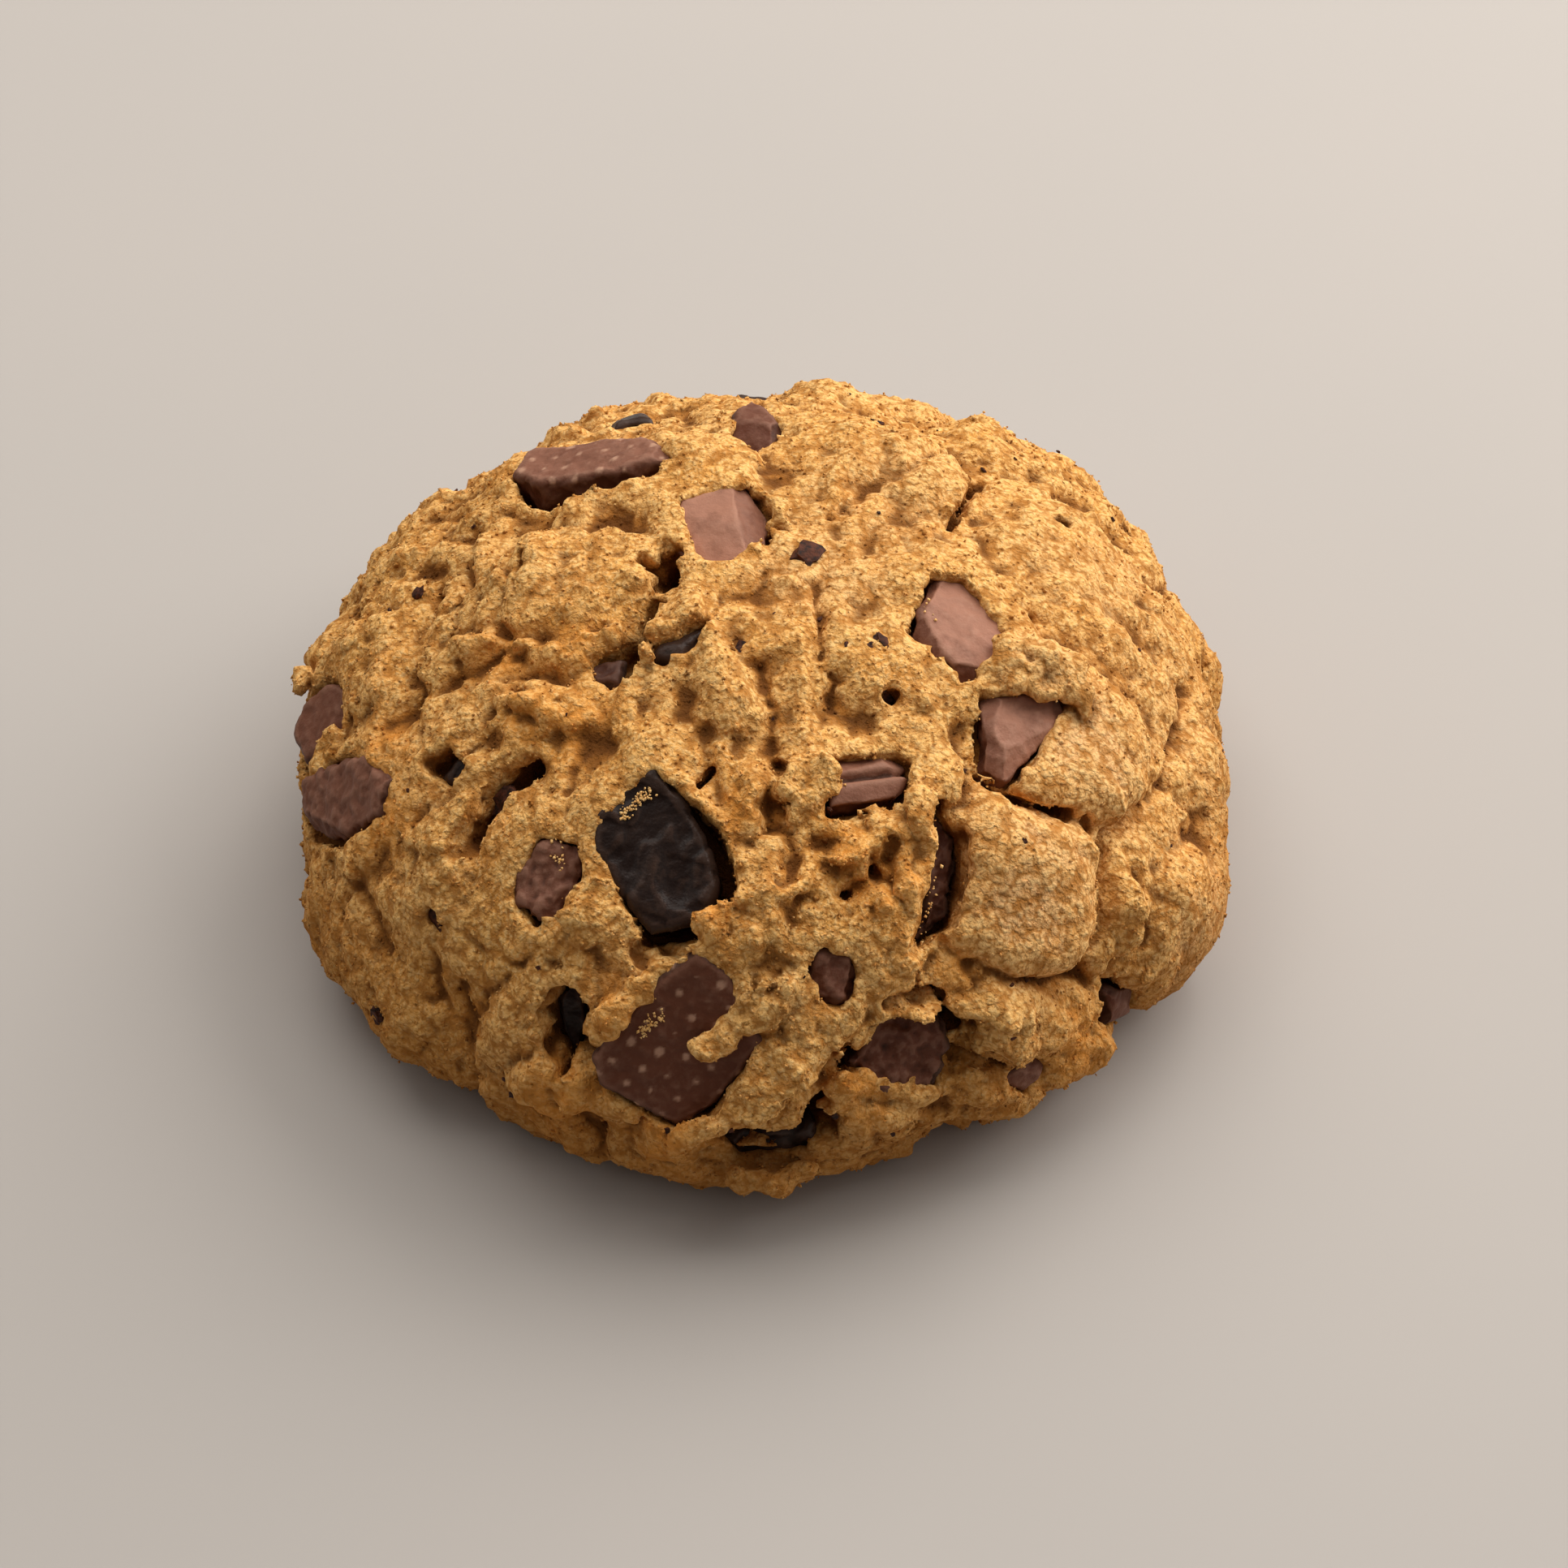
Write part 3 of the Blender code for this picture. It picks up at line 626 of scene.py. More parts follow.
class CrownMap:
    """The relief of the crust over the smooth dome, on a grid of (east, north)."""

    def __init__(self):
        side = np.arange(-MAP_REACH, MAP_REACH + MAP_STEP / 2, MAP_STEP)
        self.count = len(side)
        east, north = np.meshgrid(side, side, indexing="ij")
        self.dome = smooth_dome(east, north).astype(np.float32)
        self.reach = np.linalg.norm(self.dome, axis=-1)
        self.relief = np.zeros_like(self.reach)
        self.warped = self.dome + noise_vectors(self.dome, EDGE_STRAY)
        self.rugged = self.blobs(east, north, RUGGEDNESS)

    def wrinkled_places(self):
        """Places where noise comes out as wrinkles that run north and south on top and down the sides."""
        east_west = self.warped * np.array([1, 0.4, 0.4], np.float32)
        flat = np.hypot(self.warped[..., 0], self.warped[..., 1])
        down = RADIUS * np.arctan2(flat, self.warped[..., 2])
        x, y = (RADIUS * self.warped[..., i] / np.maximum(flat, 1e-3) for i in (0, 1))
        return east_west, np.stack([x, y, 0.4 * down], axis=-1), np.clip((down / RADIUS - 0.6) / 0.5, 0, 1)

    def blobs(self, east, north, places):
        value = np.full_like(self.reach, PLAIN_RUGGEDNESS)
        for e, n, radius, target in places:
            weight = np.exp(-(((east - e) ** 2 + (north - n) ** 2) / radius**2) ** 1.5)
            value = value * (1 - weight) + target * weight
        return value

    def window(self, places, margin):
        """The slices of the grid that lie within this many degrees of some places."""
        corners = np.array(places, float)
        low = np.floor((corners.min(axis=0) - margin + MAP_REACH) / MAP_STEP).astype(int)
        high = np.ceil((corners.max(axis=0) + margin + MAP_REACH) / MAP_STEP).astype(int)
        low, high = np.clip(low, 0, self.count), np.clip(high, 0, self.count)
        return slice(low[0], high[0]), slice(low[1], high[1])

    def sample(self, values, east, north):
        """The grid's value at these places, between its points."""
        x = np.clip((east + MAP_REACH) / MAP_STEP, 0, self.count - 1.001)
        y = np.clip((north + MAP_REACH) / MAP_STEP, 0, self.count - 1.001)
        i, j = x.astype(np.int32), y.astype(np.int32)
        a, b = x - i, y - j
        low = values[i, j] * (1 - a) + values[i + 1, j] * a
        high = values[i, j + 1] * (1 - a) + values[i + 1, j + 1] * a
        return low * (1 - b) + high * b

    def add_lobe(self, east, north, half_width, half_height, turn, rise, squareness):
        margin = math.degrees(1.5 * max(half_width, half_height) / 30)
        area = self.window([(east, north)], margin)
        points = self.warped[area]
        centre, unit_east, unit_north, outward = tangent_frame(east, north)
        offset = points - centre
        x, y, z = offset @ unit_east, offset @ unit_north, offset @ outward
        c, s = math.cos(math.radians(turn)), math.sin(math.radians(turn))
        away = (
            np.abs((x * c + y * s) / half_width) ** squareness
            + np.abs((y * c - x * s) / half_height) ** squareness
            + np.abs(z / max(half_width, half_height)) ** squareness
        )
        pillow = rise * np.sqrt(np.clip(1 - away, 0, None))
        self.lobes[area] = smooth_max(self.lobes[area], pillow, 0.35)

    def along(self, area, places):
        """(distance, side) of the grid's points from a line, with side above 0 on the left of its way."""
        points = self.warped[area]
        line = smooth_dome(*np.array(places, float).T)
        nearest = np.full(points.shape[:2], np.inf)
        side = np.zeros(points.shape[:2])
        for start, end in zip(line[:-1], line[1:]):
            away = np.linalg.norm(offset_from_line(points, start, end)[1], axis=-1)
            leftward = np.cross(unit(start), unit(end - start))
            closer = away < nearest
            nearest = np.where(closer, away, nearest)
            side = np.where(closer, (points - start) @ leftward, side)
        return nearest, side

    def add_line(self, half_width, rise, places):
        area = self.window(places, 6 + 2 * half_width)
        away, _ = self.along(area, places)
        fade = 0.8 + 0.3 * self.patchy[area]
        self.relief[area] += rise * fade * np.exp(-((away / half_width) ** 1.3))

    def add_ledge(self, rise, reach, places):
        area = self.window(places, 8 + 2 * reach)
        away, side = self.along(area, places)
        high = np.clip(side / 0.5 + 0.5, 0, 1)
        self.relief[area] += rise * high * np.exp(-((away / reach) ** 2))

    def flowing(self, seed, size):
        """Noise of this size that is drawn out north and south on top, and down the sides."""
        flat, steep, share = self.flow
        layers = ((seed, size, 1.0), (seed + 1, size / 2.2, 0.3))
        return noise_sum(flat, layers) * (1 - share) + noise_sum(steep, layers) * share

    def creases(self, seed, size, width):
        """Creases 1 mm deep between lobes of this size, which fade out in places."""
        strength = np.clip(0.55 + 0.9 * Noise(seed + 2)(self.dome, 1.6 * size), 0, 1)
        return -strength * np.exp(-np.abs(self.flowing(seed, size) / width) ** 1.3)

    def build(self):
        self.patchy = Noise(21)(self.dome, 4.0)
        self.lobes = np.zeros_like(self.reach)
        for lobe in LOBES:
            self.add_lobe(*lobe)
        self.relief += self.lobes
        self.flow = self.wrinkled_places()
        broad = noise_sum(self.dome, BROAD_SWELL)
        soft = 0.4 * fractal(Noise(24), self.warped, 5.0, 2) + 0.6 * np.tanh(2.5 * self.flowing(38, 6.5))
        folds = sum(depth * self.creases(seed, size, width) for seed, size, width, depth in CREASES)
        torn = 2.2 * np.clip(self.rugged - 0.8, 0, 1) * (0.3 - np.abs(Noise(26)(self.warped, 3.6)))
        self.relief += broad + self.rugged**1.3 * (soft + folds) + torn
        for ledge in LEDGES:
            self.add_ledge(*ledge)
        for half_width, rise, places in CRESTS:
            self.add_line(half_width, rise, places)
        for half_width, depth, places in VALLEYS:
            self.add_line(half_width, -depth, places)


def crown_angles(points):
    """(east, north) of points given from the centre of the dome."""
    flat = np.hypot(points[..., 0], points[..., 1])
    scale = np.degrees(np.arctan2(flat, points[..., 2])) / np.maximum(flat, 1e-6)
    return points[..., 0] * scale, points[..., 1] * scale


class Chunk:
    """A chunk of chocolate of the CAD model: its planes, its face and where it sits."""

    def __init__(self, name, node):
        self.name = name
        self.vertices = positions(node.data)
        self.middle = self.vertices.mean(axis=0)
        normals, offsets, areas = [], [], []
        for polygon in node.data.polygons:
            normal = np.array(polygon.normal)
            for i, known in enumerate(normals):
                if known @ normal > 0.999:
                    areas[i] += polygon.area
                    break
            else:
                normals.append(normal)
                offsets.append((self.vertices @ normal).max())
                areas.append(polygon.area)
        self.normals, self.offsets = np.array(normals), np.array(offsets)
        facing = self.normals @ unit(self.middle - CENTRE)
        self.face = int(np.argmax(np.array(areas) * (facing > 0.7)))
        self.up = self.normals[self.face]
        self.level = self.offsets[self.face]
        sides = np.abs(self.normals @ self.up) < 0.4
        self.side_normals, self.side_offsets = self.normals[sides], self.offsets[sides]

    def look(self):
        plain = DARK_LOOK if self.name.startswith("dark") else MILK_LOOK
        return CHUNK_LOOKS.get(self.name, plain)

    def toward(self, points, compass):
        """How far, from -1 to 1, points lie in this compass direction from the chunk's middle."""
        offset = points - self.middle
        way = math.radians(compass)
        along = offset[..., 0] * math.cos(way) + offset[..., 1] * math.sin(way)
        return along / (np.linalg.norm(offset[..., :2], axis=-1) + 1)

    def beside(self, points):
        """Distance of points outside the chunk's sides, which go on up and down for ever."""
        return (points @ self.side_normals.T - self.side_offsets).max(axis=-1)


class DoughField:
    """Signed distance, in mm, to the crust of the dough, on a box of cells."""

    def __init__(self, crown_map, chunks):
        self.map = crown_map
        self.chunks = chunks
        self.rng = np.random.default_rng(50)
        self.low = np.array(FIELD_LOW)
        self.counts = (np.array(FIELD_SIZE) / CELL).astype(int)
        self.axes = [(self.low[i] + CELL * np.arange(self.counts[i])).astype(np.float32) for i in range(3)]
        self.field = np.empty(tuple(self.counts), np.float32)
        x, y = np.meshgrid(self.axes[0], self.axes[1], indexing="ij")
        for k, z in enumerate(self.axes[2]):
            level = np.stack([x, y, np.full_like(x, z - WIDEST_AT)], axis=-1)
            self.field[:, :, k] = self.crust_distance(level)

    def crust_distance(self, points):
        east, north = crown_angles(points)
        reach = self.map.sample(self.map.reach + self.map.relief, east, north)
        return 0.9 * (np.linalg.norm(points, axis=-1) - reach)

    def near_crust(self, band):
        """(flat indices, points, the same from the dome's centre, ruggedness) of the cells near the crust."""
        near = np.flatnonzero(np.abs(self.field.reshape(-1)) < band)
        index = np.unravel_index(near, tuple(self.counts))
        points = np.stack([axis[i] for axis, i in zip(self.axes, index)], axis=-1)
        centred = points - CENTRE.astype(np.float32)
        return near, points, centred, self.map.sample(self.map.rugged, *crown_angles(centred))

    def block(self, low, high):
        """The part of the field in a box, and its points."""
        start = np.clip(np.floor((np.array(low) - self.low) / CELL).astype(int), 0, self.counts)
        end = np.clip(np.ceil((np.array(high) - self.low) / CELL).astype(int) + 1, 0, self.counts)
        part = tuple(slice(a, b) for a, b in zip(start, end))
        points = np.stack(np.meshgrid(*[axis[s] for axis, s in zip(self.axes, part)], indexing="ij"), axis=-1)
        return part, points

    def build(self):
        self.break_crust()
        for east, north in self.rugged_places(CLUMPS):
            self.add_clump(east, north)
        for chunk in self.chunks:
            self.seat(chunk)
        for pit in PITS:
            self.cut_pit(*pit)
        for gap in GAPS:
            self.cut_gap(*gap)
        for chunk in self.chunks:
            self.cut_pocket(chunk)
        for radius, above, places in TONGUES:
            self.add_tongue(radius, above, places)
        self.roughen()
        self.field = np.maximum(self.field, (0.05 - self.axes[2])[None, None, :])

    def rugged_places(self, count):
        """Places all over the cookie, none of them where the crust is smooth."""
        up = 1 - self.rng.uniform(0, 1.25, count)
        bearing = self.rng.uniform(0, 2 * math.pi, count)
        crown_angle = np.degrees(np.arccos(up))
        east, north = crown_angle * np.cos(bearing), crown_angle * np.sin(bearing)
        kept = self.rng.random(count) < self.map.sample(self.map.rugged, east, north) - 0.3
        return np.stack([east[kept], north[kept]], axis=-1)

    def crust_point(self, east, north, above=0.0):
        relief = float(self.map.sample(self.map.relief, np.array(east), np.array(north)))
        return dome_point(east, north, relief + above)

    def break_crust(self):
        """Looks the crust up at strayed points, which makes its lips overhang."""
        near, points, centred, rugged = self.near_crust(2.2)
        stray = noise_vectors(points, LIP_STRAY)
        self.field.reshape(-1)[near] = self.crust_distance(centred + 0.4 * rugged[:, None] * stray)

    def add_clump(self, east, north):
        """A crumb of dough stuck to the crust."""
        radius = self.rng.uniform(0.3, 0.75)
        centre = self.crust_point(east, north, self.rng.uniform(-0.7, 0.1) * radius)
        part, points = self.block(centre - radius - 1, centre + radius + 1)
        squash = self.rng.uniform(0.8, 1.3, 3)
        away = (np.linalg.norm((points - centre) * squash, axis=-1) - radius) * 0.8
        self.field[part] = smooth_min(self.field[part], away, 0.35)

    def carve(self, top, bottom, wide, narrow):
        """Takes away a rod of dough, this wide at the top and this narrow at the bottom."""
        reach = wide + 1.2
        part, points = self.block(np.minimum(top, bottom) - reach, np.maximum(top, bottom) + reach)
        share, offset = offset_from_line(points, top, bottom)
        away = np.linalg.norm(offset, axis=-1) + noise_sum(points, GAP_SIDES) * min(1.0, wide)
        self.field[part] = smooth_max(self.field[part], wide + (narrow - wide) * share - away, 0.2)

    def cut_pit(self, east, north, radius, depth):
        top, bottom = self.crust_point(east, north, RODS_FROM), self.crust_point(east, north, -depth)
        self.carve(top, bottom, radius, 0.7 * radius)

    def cut_gap(self, half_width, depth, lean, places):
        for (east, north), (east_end, north_end) in zip(places[:-1], places[1:]):
            start, end = self.crust_point(east, north), self.crust_point(east_end, north_end)
            steps = int(np.linalg.norm(end - start) / ROD_SPACING) + 1
            leftward = unit(np.cross(start - CENTRE, end - start))
            for share in np.arange(steps) / steps:
                spot = (east + (east_end - east) * share, north + (north_end - north) * share)
                top, bottom = self.crust_point(*spot, RODS_FROM), self.crust_point(*spot, -depth)
                self.carve(top, bottom + lean * leftward, half_width + 0.15, 0.7 * half_width)

    def seat(self, chunk):
        """Draws the dough around a chunk to the level of its face, but not where the gap opens."""
        look = chunk.look()
        part, points = self.block(chunk.vertices.min(axis=0) - 5, chunk.vertices.max(axis=0) + 5)
        nearness = 1 - np.clip(chunk.beside(points) / 4.5, 0, 1) ** 2
        share = look.seat * nearness**2 * (1 - np.clip(chunk.toward(points, look.opens[0]), 0, 1))
        height = points @ chunk.up - chunk.level - 0.25
        self.field[part] += share * (height - self.field[part])

    def cut_pocket(self, chunk):
        """Clears the dough off the chunk's face and breaks its edge away beside it."""
        look = chunk.look()
        part, points = self.block(chunk.vertices.min(axis=0) - 4, chunk.vertices.max(axis=0) + 4)
        opening = look.opens[1] * chunk.toward(points, look.opens[0])
        margin = look.gap + opening + look.ragged * noise_sum(points, POCKET_EDGES)
        height = points @ chunk.up - chunk.level
        pocket = np.maximum(chunk.beside(points) - margin, -look.depth - height)
        self.field[part] = smooth_max(self.field[part], -pocket, 0.15)

    def add_tongue(self, radius, above, places):
        spots = [self.crust_point(east, north, above) for east, north in places]
        for start, end in zip(spots[:-1], spots[1:]):
            reach = radius + 1.5
            part, points = self.block(np.minimum(start, end) - reach, np.maximum(start, end) + reach)
            outward = unit(start - CENTRE)
            offset = offset_from_line(points, start, end)[1]
            offset += 0.6 * (offset @ outward)[..., None] * outward
            away = np.linalg.norm(offset, axis=-1) - radius + noise_sum(points, TONGUE_SIDES)
            self.field[part] = smooth_min(self.field[part], away, 0.5)

    def roughen(self):
        """Swells the crust into rounded crumbs with creases between them."""
        near, points, _, rugged = self.near_crust(1.3)
        lumps = sum(strength * np.abs(Noise(seed)(points, size)) for seed, size, strength in CRUMB_LUMPS)
        self.field.reshape(-1)[near] -= (0.4 + 0.6 * rugged**2) * lumps


def surface_nets(field, low, step):
    """Vertices and quads of the field's zero surface."""
    inside = field < 0
    a, b, c = (side - 1 for side in inside.shape)
    count = sum(inside[i : a + i, j : b + j, k : c + k].astype(np.int8) for i, j, k in np.ndindex(2, 2, 2))
    mixed = (count > 0) & (count < 8)
    cells = np.argwhere(mixed)
    number = np.full(mixed.shape, -1, np.int32)
    number[mixed] = np.arange(len(cells))
    total = np.zeros((len(cells), 3))
    hits = np.zeros(len(cells))
    for axis in range(3):
        others = [other for other in range(3) if other != axis]
        for pair in np.ndindex(2, 2):
            offset = np.zeros(3, int)
            offset[others] = pair
            start = cells + offset
            end = start.copy()
            end[:, axis] += 1
            a = field[tuple(start.T)]
            b = field[tuple(end.T)]
            crossed = (a < 0) != (b < 0)
            share = np.where(crossed, a / np.where(crossed, a - b, 1), 0)
            spot = np.tile(offset.astype(float), (len(cells), 1))
            spot[:, axis] = share
            total[crossed] += spot[crossed]
            hits += crossed
    vertices = low + step * (cells + total / hits[:, None])
    quads = []
    for axis in range(3):
        before = [slice(None)] * 3
        after = [slice(None)] * 3
        before[axis], after[axis] = slice(None, -1), slice(1, None)
        changed = inside[tuple(before)] != inside[tuple(after)]
        edges = np.argwhere(changed)
        b, c = (axis + 1) % 3, (axis + 2) % 3
        edges = edges[(edges[:, b] > 0) & (edges[:, c] > 0)]
        edges = edges[(edges[:, b] < mixed.shape[b]) & (edges[:, c] < mixed.shape[c])]
        step_b, step_c = np.eye(3, dtype=int)[b], np.eye(3, dtype=int)[c]
        around = [edges - step_b - step_c, edges - step_c, edges, edges - step_b]
        quad = np.stack([number[tuple(place.T)] for place in around], axis=-1)
        outward = inside[tuple(edges.T)]
        quad[~outward] = quad[~outward][:, ::-1]
        quads.append(quad)
    return vertices, np.concatenate(quads)


def new_object(name, vertices, faces):
    mesh = bpy.data.meshes.new(name)
    mesh.from_pydata((np.asarray(vertices) * MM).tolist(), [], np.asarray(faces).tolist())
    mesh.validate()
    thing = bpy.data.objects.new(name, mesh)
    bpy.context.scene.collection.objects.link(thing)
    return thing


def apply_modifiers(thing):
    """Replaces the object's mesh with what its modifiers make of it."""
    evaluated = thing.evaluated_get(bpy.context.evaluated_depsgraph_get())
    mesh = bpy.data.meshes.new_from_object(evaluated)
    thing.modifiers.clear()
    thing.data = mesh


def values_of(items, name, width=1, kind=np.float32):
    """What Blender's items say under this name, as an array."""
    values = np.empty(len(items) * width, kind)
    items.foreach_get(name, values)
    return values.reshape(-1, width) if width > 1 else values


def positions(mesh):
    return values_of(mesh.vertices, "co", 3) / MM


def normals_of(mesh):
    return values_of(mesh.vertex_normals, "vector", 3)


def set_positions(mesh, values):
    mesh.vertices.foreach_set("co", (values * MM).astype(np.float32).ravel())
    mesh.update()


def add_attribute(mesh, name, values):
    attribute = mesh.attributes.new(name, "FLOAT", "POINT")
    attribute.data.foreach_set("value", np.asarray(values, np.float32))


def read_attribute(mesh, name):
    return values_of(mesh.attributes[name].data, "value")


def hollowness(mesh, passes):
    """How many mm each vertex lies below (above 0) or above (below 0) the average of its surroundings."""
    first, second = values_of(mesh.edges, "vertices", 2, np.int32).T
    count = len(mesh.vertices)
    degree = np.bincount(first, minlength=count) + np.bincount(second, minlength=count)
    start = positions(mesh).astype(float)
    smoothed = start.copy()
    for _ in range(passes):
        for axis in range(3):
            values = smoothed[:, axis]
            total = np.bincount(first, values[second], count) + np.bincount(second, values[first], count)
            smoothed[:, axis] = total / np.maximum(degree, 1)
    return ((smoothed - start) * normals_of(mesh)).sum(axis=1)


def make_dough(crown_map, field):
    vertices, quads = surface_nets(field.field, field.low, CELL)
    dough = new_object("dough_crust", vertices, quads)
    decimate = dough.modifiers.new("fewer", "DECIMATE")
    decimate.ratio = min(1.0, DOUGH_TRIANGLES / (2 * len(quads)))
    apply_modifiers(dough)
    mesh = dough.data
    mesh.shade_smooth()
    points, normals = positions(mesh), normals_of(mesh)
    on_crust = np.clip(points[:, 2] / 0.8, 0, 1)
    points += normals * (noise_sum(points, CRUST_GRAIN_LAYER) * on_crust)[:, None]
    points[:, 2] = np.maximum(points[:, 2], 0.0)
    set_positions(mesh, points)
    # hollow, deep and sunk mask the painted shade in crevices and valleys, and hollow also the painted
    # highlight on crests
    add_attribute(mesh, "hollow", hollowness(mesh, 12))
    add_attribute(mesh, "deep", hollowness(mesh, 60))
    # low: how much darker the crust is towards the floor, partly toasting near the base and partly painted
    # shade
    lowness = (19 - points[:, 2] + 3 * Noise(63)(points, 7.0)) / 17
    add_attribute(mesh, "low", np.clip(lowness, 0, 1))
    centred = points - CENTRE
    add_attribute(mesh, "sunk", -field.crust_distance(centred))
    east, north = crown_angles(centred)
    add_attribute(mesh, "rugged", crown_map.sample(crown_map.rugged, east, north))
    toasted = np.zeros(len(points))
    for place_east, place_north, radius in TOASTED_PLACES:
        away = np.hypot(east - place_east, north - place_north) / radius
        toasted = np.maximum(toasted, np.exp(-(away**2)))
    add_attribute(mesh, "toasted", toasted)
    return dough


def dots_of_bloom(chunk, points):
    """Pale dots, 0 to 1, in uneven rows over a chunk's face."""
    across = unit(np.cross(chunk.up, DOT_ROWS_WAY))
    along = np.cross(across, chunk.up)
    rows = (points @ across + 0.45 * Noise(72)(points, 4.0)) / DOT_SPACING
    places = (points @ along + 0.5 * Noise(73)(points, 4.0)) / DOT_SPACING + 0.5 * (np.floor(rows) % 2)
    away = np.hypot(rows - np.floor(rows) - 0.5, places - np.floor(places) - 0.5)
    near_face = np.clip((points @ chunk.up - chunk.level + 0.9) / 0.4, 0, 1)
    sizes = 0.15 + 0.14 * Noise(74)(points, 2.0)
    return near_face * np.clip((sizes - away) / 0.08, 0, 1)


def chip(points, chunk, rng):
    """Flattens corners and edges of a chunk, as where it snapped off the bar."""
    for _ in range(chunk.look().chips):
        way = rng.normal(size=3)
        way = unit(way + (CHIP_LEAN - way @ chunk.up) * chunk.up)
        heights = (points - chunk.middle) @ way
        over = np.clip(heights - heights.max() + rng.uniform(*CHIP_DEPTHS), 0, None)
        points = points - over[:, None] * way
    for compass, slope, distance in chunk.look().bevels:
        level_way = np.array([math.cos(math.radians(compass)), math.sin(math.radians(compass)), 0])
        level_way = unit(level_way - (level_way @ chunk.up) * chunk.up)
        way = chunk.up * math.cos(math.radians(slope)) + level_way * math.sin(math.radians(slope))
        edge = chunk.middle + (chunk.level - chunk.middle @ chunk.up) * chunk.up + level_way * distance
        over = np.clip((points - edge) @ way, 0, None)
        points = points - over[:, None] * way
    return points


def make_chunk(chunk, node):
    """The chunk as it looks, over its CAD solid: cut faces gone uneven, chipped edges, grooves."""
    piece = bpy.data.objects.new(chunk.name + "_cut", node.data.copy())
    bpy.context.scene.collection.objects.link(piece)
    remesh = piece.modifiers.new("even", "REMESH")
    remesh.mode = "VOXEL"
    remesh.voxel_size = CHUNK_CELL * MM
    apply_modifiers(piece)
    mesh = piece.data
    mesh.shade_smooth()
    look = chunk.look()
    seed = 80 + sum(chunk.name.encode()) % 97
    points = chip(positions(mesh), chunk, np.random.default_rng(seed))
    set_positions(mesh, points)
    normals = normals_of(mesh)
    face = np.clip(normals @ chunk.up, 0, 1)
    outline = look.ragged * (Noise(seed)(points, 2.4) + 0.5 * Noise(seed + 1)(points, 1.1))
    uneven = 0.12 * Noise(seed + 2)(points, 4.0) + look.rough * fractal(Noise(seed + 3), points, 1.4, 3, 0.6)
    uneven -= 1.5 * look.rough * np.clip(Noise(seed + 4)(points, 2.2) - 0.15, 0, 1)
    if look.finish == "grooved":
        across = (points - chunk.middle) @ np.cross(chunk.up, GROOVE_WAY)
        uneven -= GROOVE_DEPTH * (np.exp(-((across / GROOVE_HALF_WIDTH) ** 2)) + 0.5 * (across / 2) ** 2)
    if look.finish == "flaky":
        flakes = np.tanh(FLAKE_CRISPNESS * Noise(seed + 5)(points, 4.5))
        flakes += 0.6 * np.tanh(FLAKE_CRISPNESS * Noise(seed + 6)(points, 2.4))
        uneven += FLAKE_HEIGHT * flakes
    points += normals * (uneven + outline * (1 - face))[:, None]
    set_positions(mesh, points)
    add_attribute(mesh, "bloom", 0.5 + 0.5 * Noise(71)(points, 3.5))
    dotted = look.finish == "dotted"
    add_attribute(mesh, "dots", dots_of_bloom(chunk, points) if dotted else np.zeros(len(points)))
    # Painted shade: the sides and slanting facets are darker than the top face
    add_attribute(mesh, "shade", look.shade * (0.35 + 0.65 * np.clip((face - 0.6) / 0.3, 0, 1)))
    add_attribute(mesh, "hollow", hollowness(mesh, 6))
    return piece


def surface_places(mesh, count, rng, weight):
    """Random points of a mesh, their normals and a vertex near each, by area and by a weight per vertex."""
    centres = values_of(mesh.polygons, "center", 3, float)
    outward = values_of(mesh.polygons, "normal", 3, float)
    starts = values_of(mesh.polygons, "loop_start", kind=np.int32)
    near = values_of(mesh.loops, "vertex_index", kind=np.int32)[starts]
    chance = values_of(mesh.polygons, "area", kind=float) * weight[near]
    chosen = rng.choice(len(chance), size=count, p=chance / chance.sum())
    jitter = rng.normal(scale=0.12, size=(count, 3))
    return centres[chosen] / MM + jitter, outward[chosen], near[chosen]


def make_grains(name, places, outward, sizes, depth, seed):
    """One mesh of eight-sided grains, turned at random and sunk by this share of their size."""
    rng = np.random.default_rng(seed)
    count = len(places)
    ball = np.concatenate([np.eye(3), -np.eye(3)])
    faces = np.array([(0, 1, 2), (1, 3, 2), (3, 4, 2), (4, 0, 2), (1, 0, 5), (3, 1, 5), (4, 3, 5), (0, 4, 5)])
    radii = rng.uniform(*sizes, size=(count, 1)) * rng.uniform(0.6, 1.25, size=(count, 3))
    turns = np.linalg.qr(rng.normal(size=(count, 3, 3)))[0]
    grains = np.einsum("nij,nkj->nki", turns, ball[None] * radii[:, None, :])
    grains *= rng.uniform(0.75, 1.2, size=(count, len(ball), 1))
    grains += (places - outward * radii.mean(axis=1, keepdims=True) * depth)[:, None, :]
    grains[..., 2] = np.maximum(grains[..., 2], 0)
    index = faces[None] + (np.arange(count) * len(ball))[:, None, None]
    piece = new_object(name, grains.reshape(-1, 3), index.reshape(-1, 3))
    piece.data.shade_smooth()
    return piece


def make_crumb(dough, name, count, sizes, depth, seed):
    """Grains of dough that stick to the crust and look like the crust where they are."""
    rng = np.random.default_rng(seed)
    height, rugged = positions(dough.data)[:, 2], read_attribute(dough.data, "rugged")
    weight = (height > GRAINS_FROM) * np.clip(height / 6, 0.15, 1) * np.clip(rugged, 0.2, 1)
    places, outward, near = surface_places(dough.data, count, rng, weight)
    piece = make_grains(name, places, outward, sizes, depth, seed + 1)
    corners = len(piece.data.vertices) // count
    # The crumbs copy the crust's attributes, so they carry the same painted shade and highlight
    for known in CRUST_ATTRIBUTES:
        add_attribute(piece.data, known, np.repeat(read_attribute(dough.data, known)[near], corners))
    return piece


def on_chunk(chunk, east, north):
    """The point of the chunk's face in this direction from the centre of the dome."""
    way = dome_point(east, north) - CENTRE
    return CENTRE + way * (chunk.level - CENTRE @ chunk.up) / (way @ chunk.up)


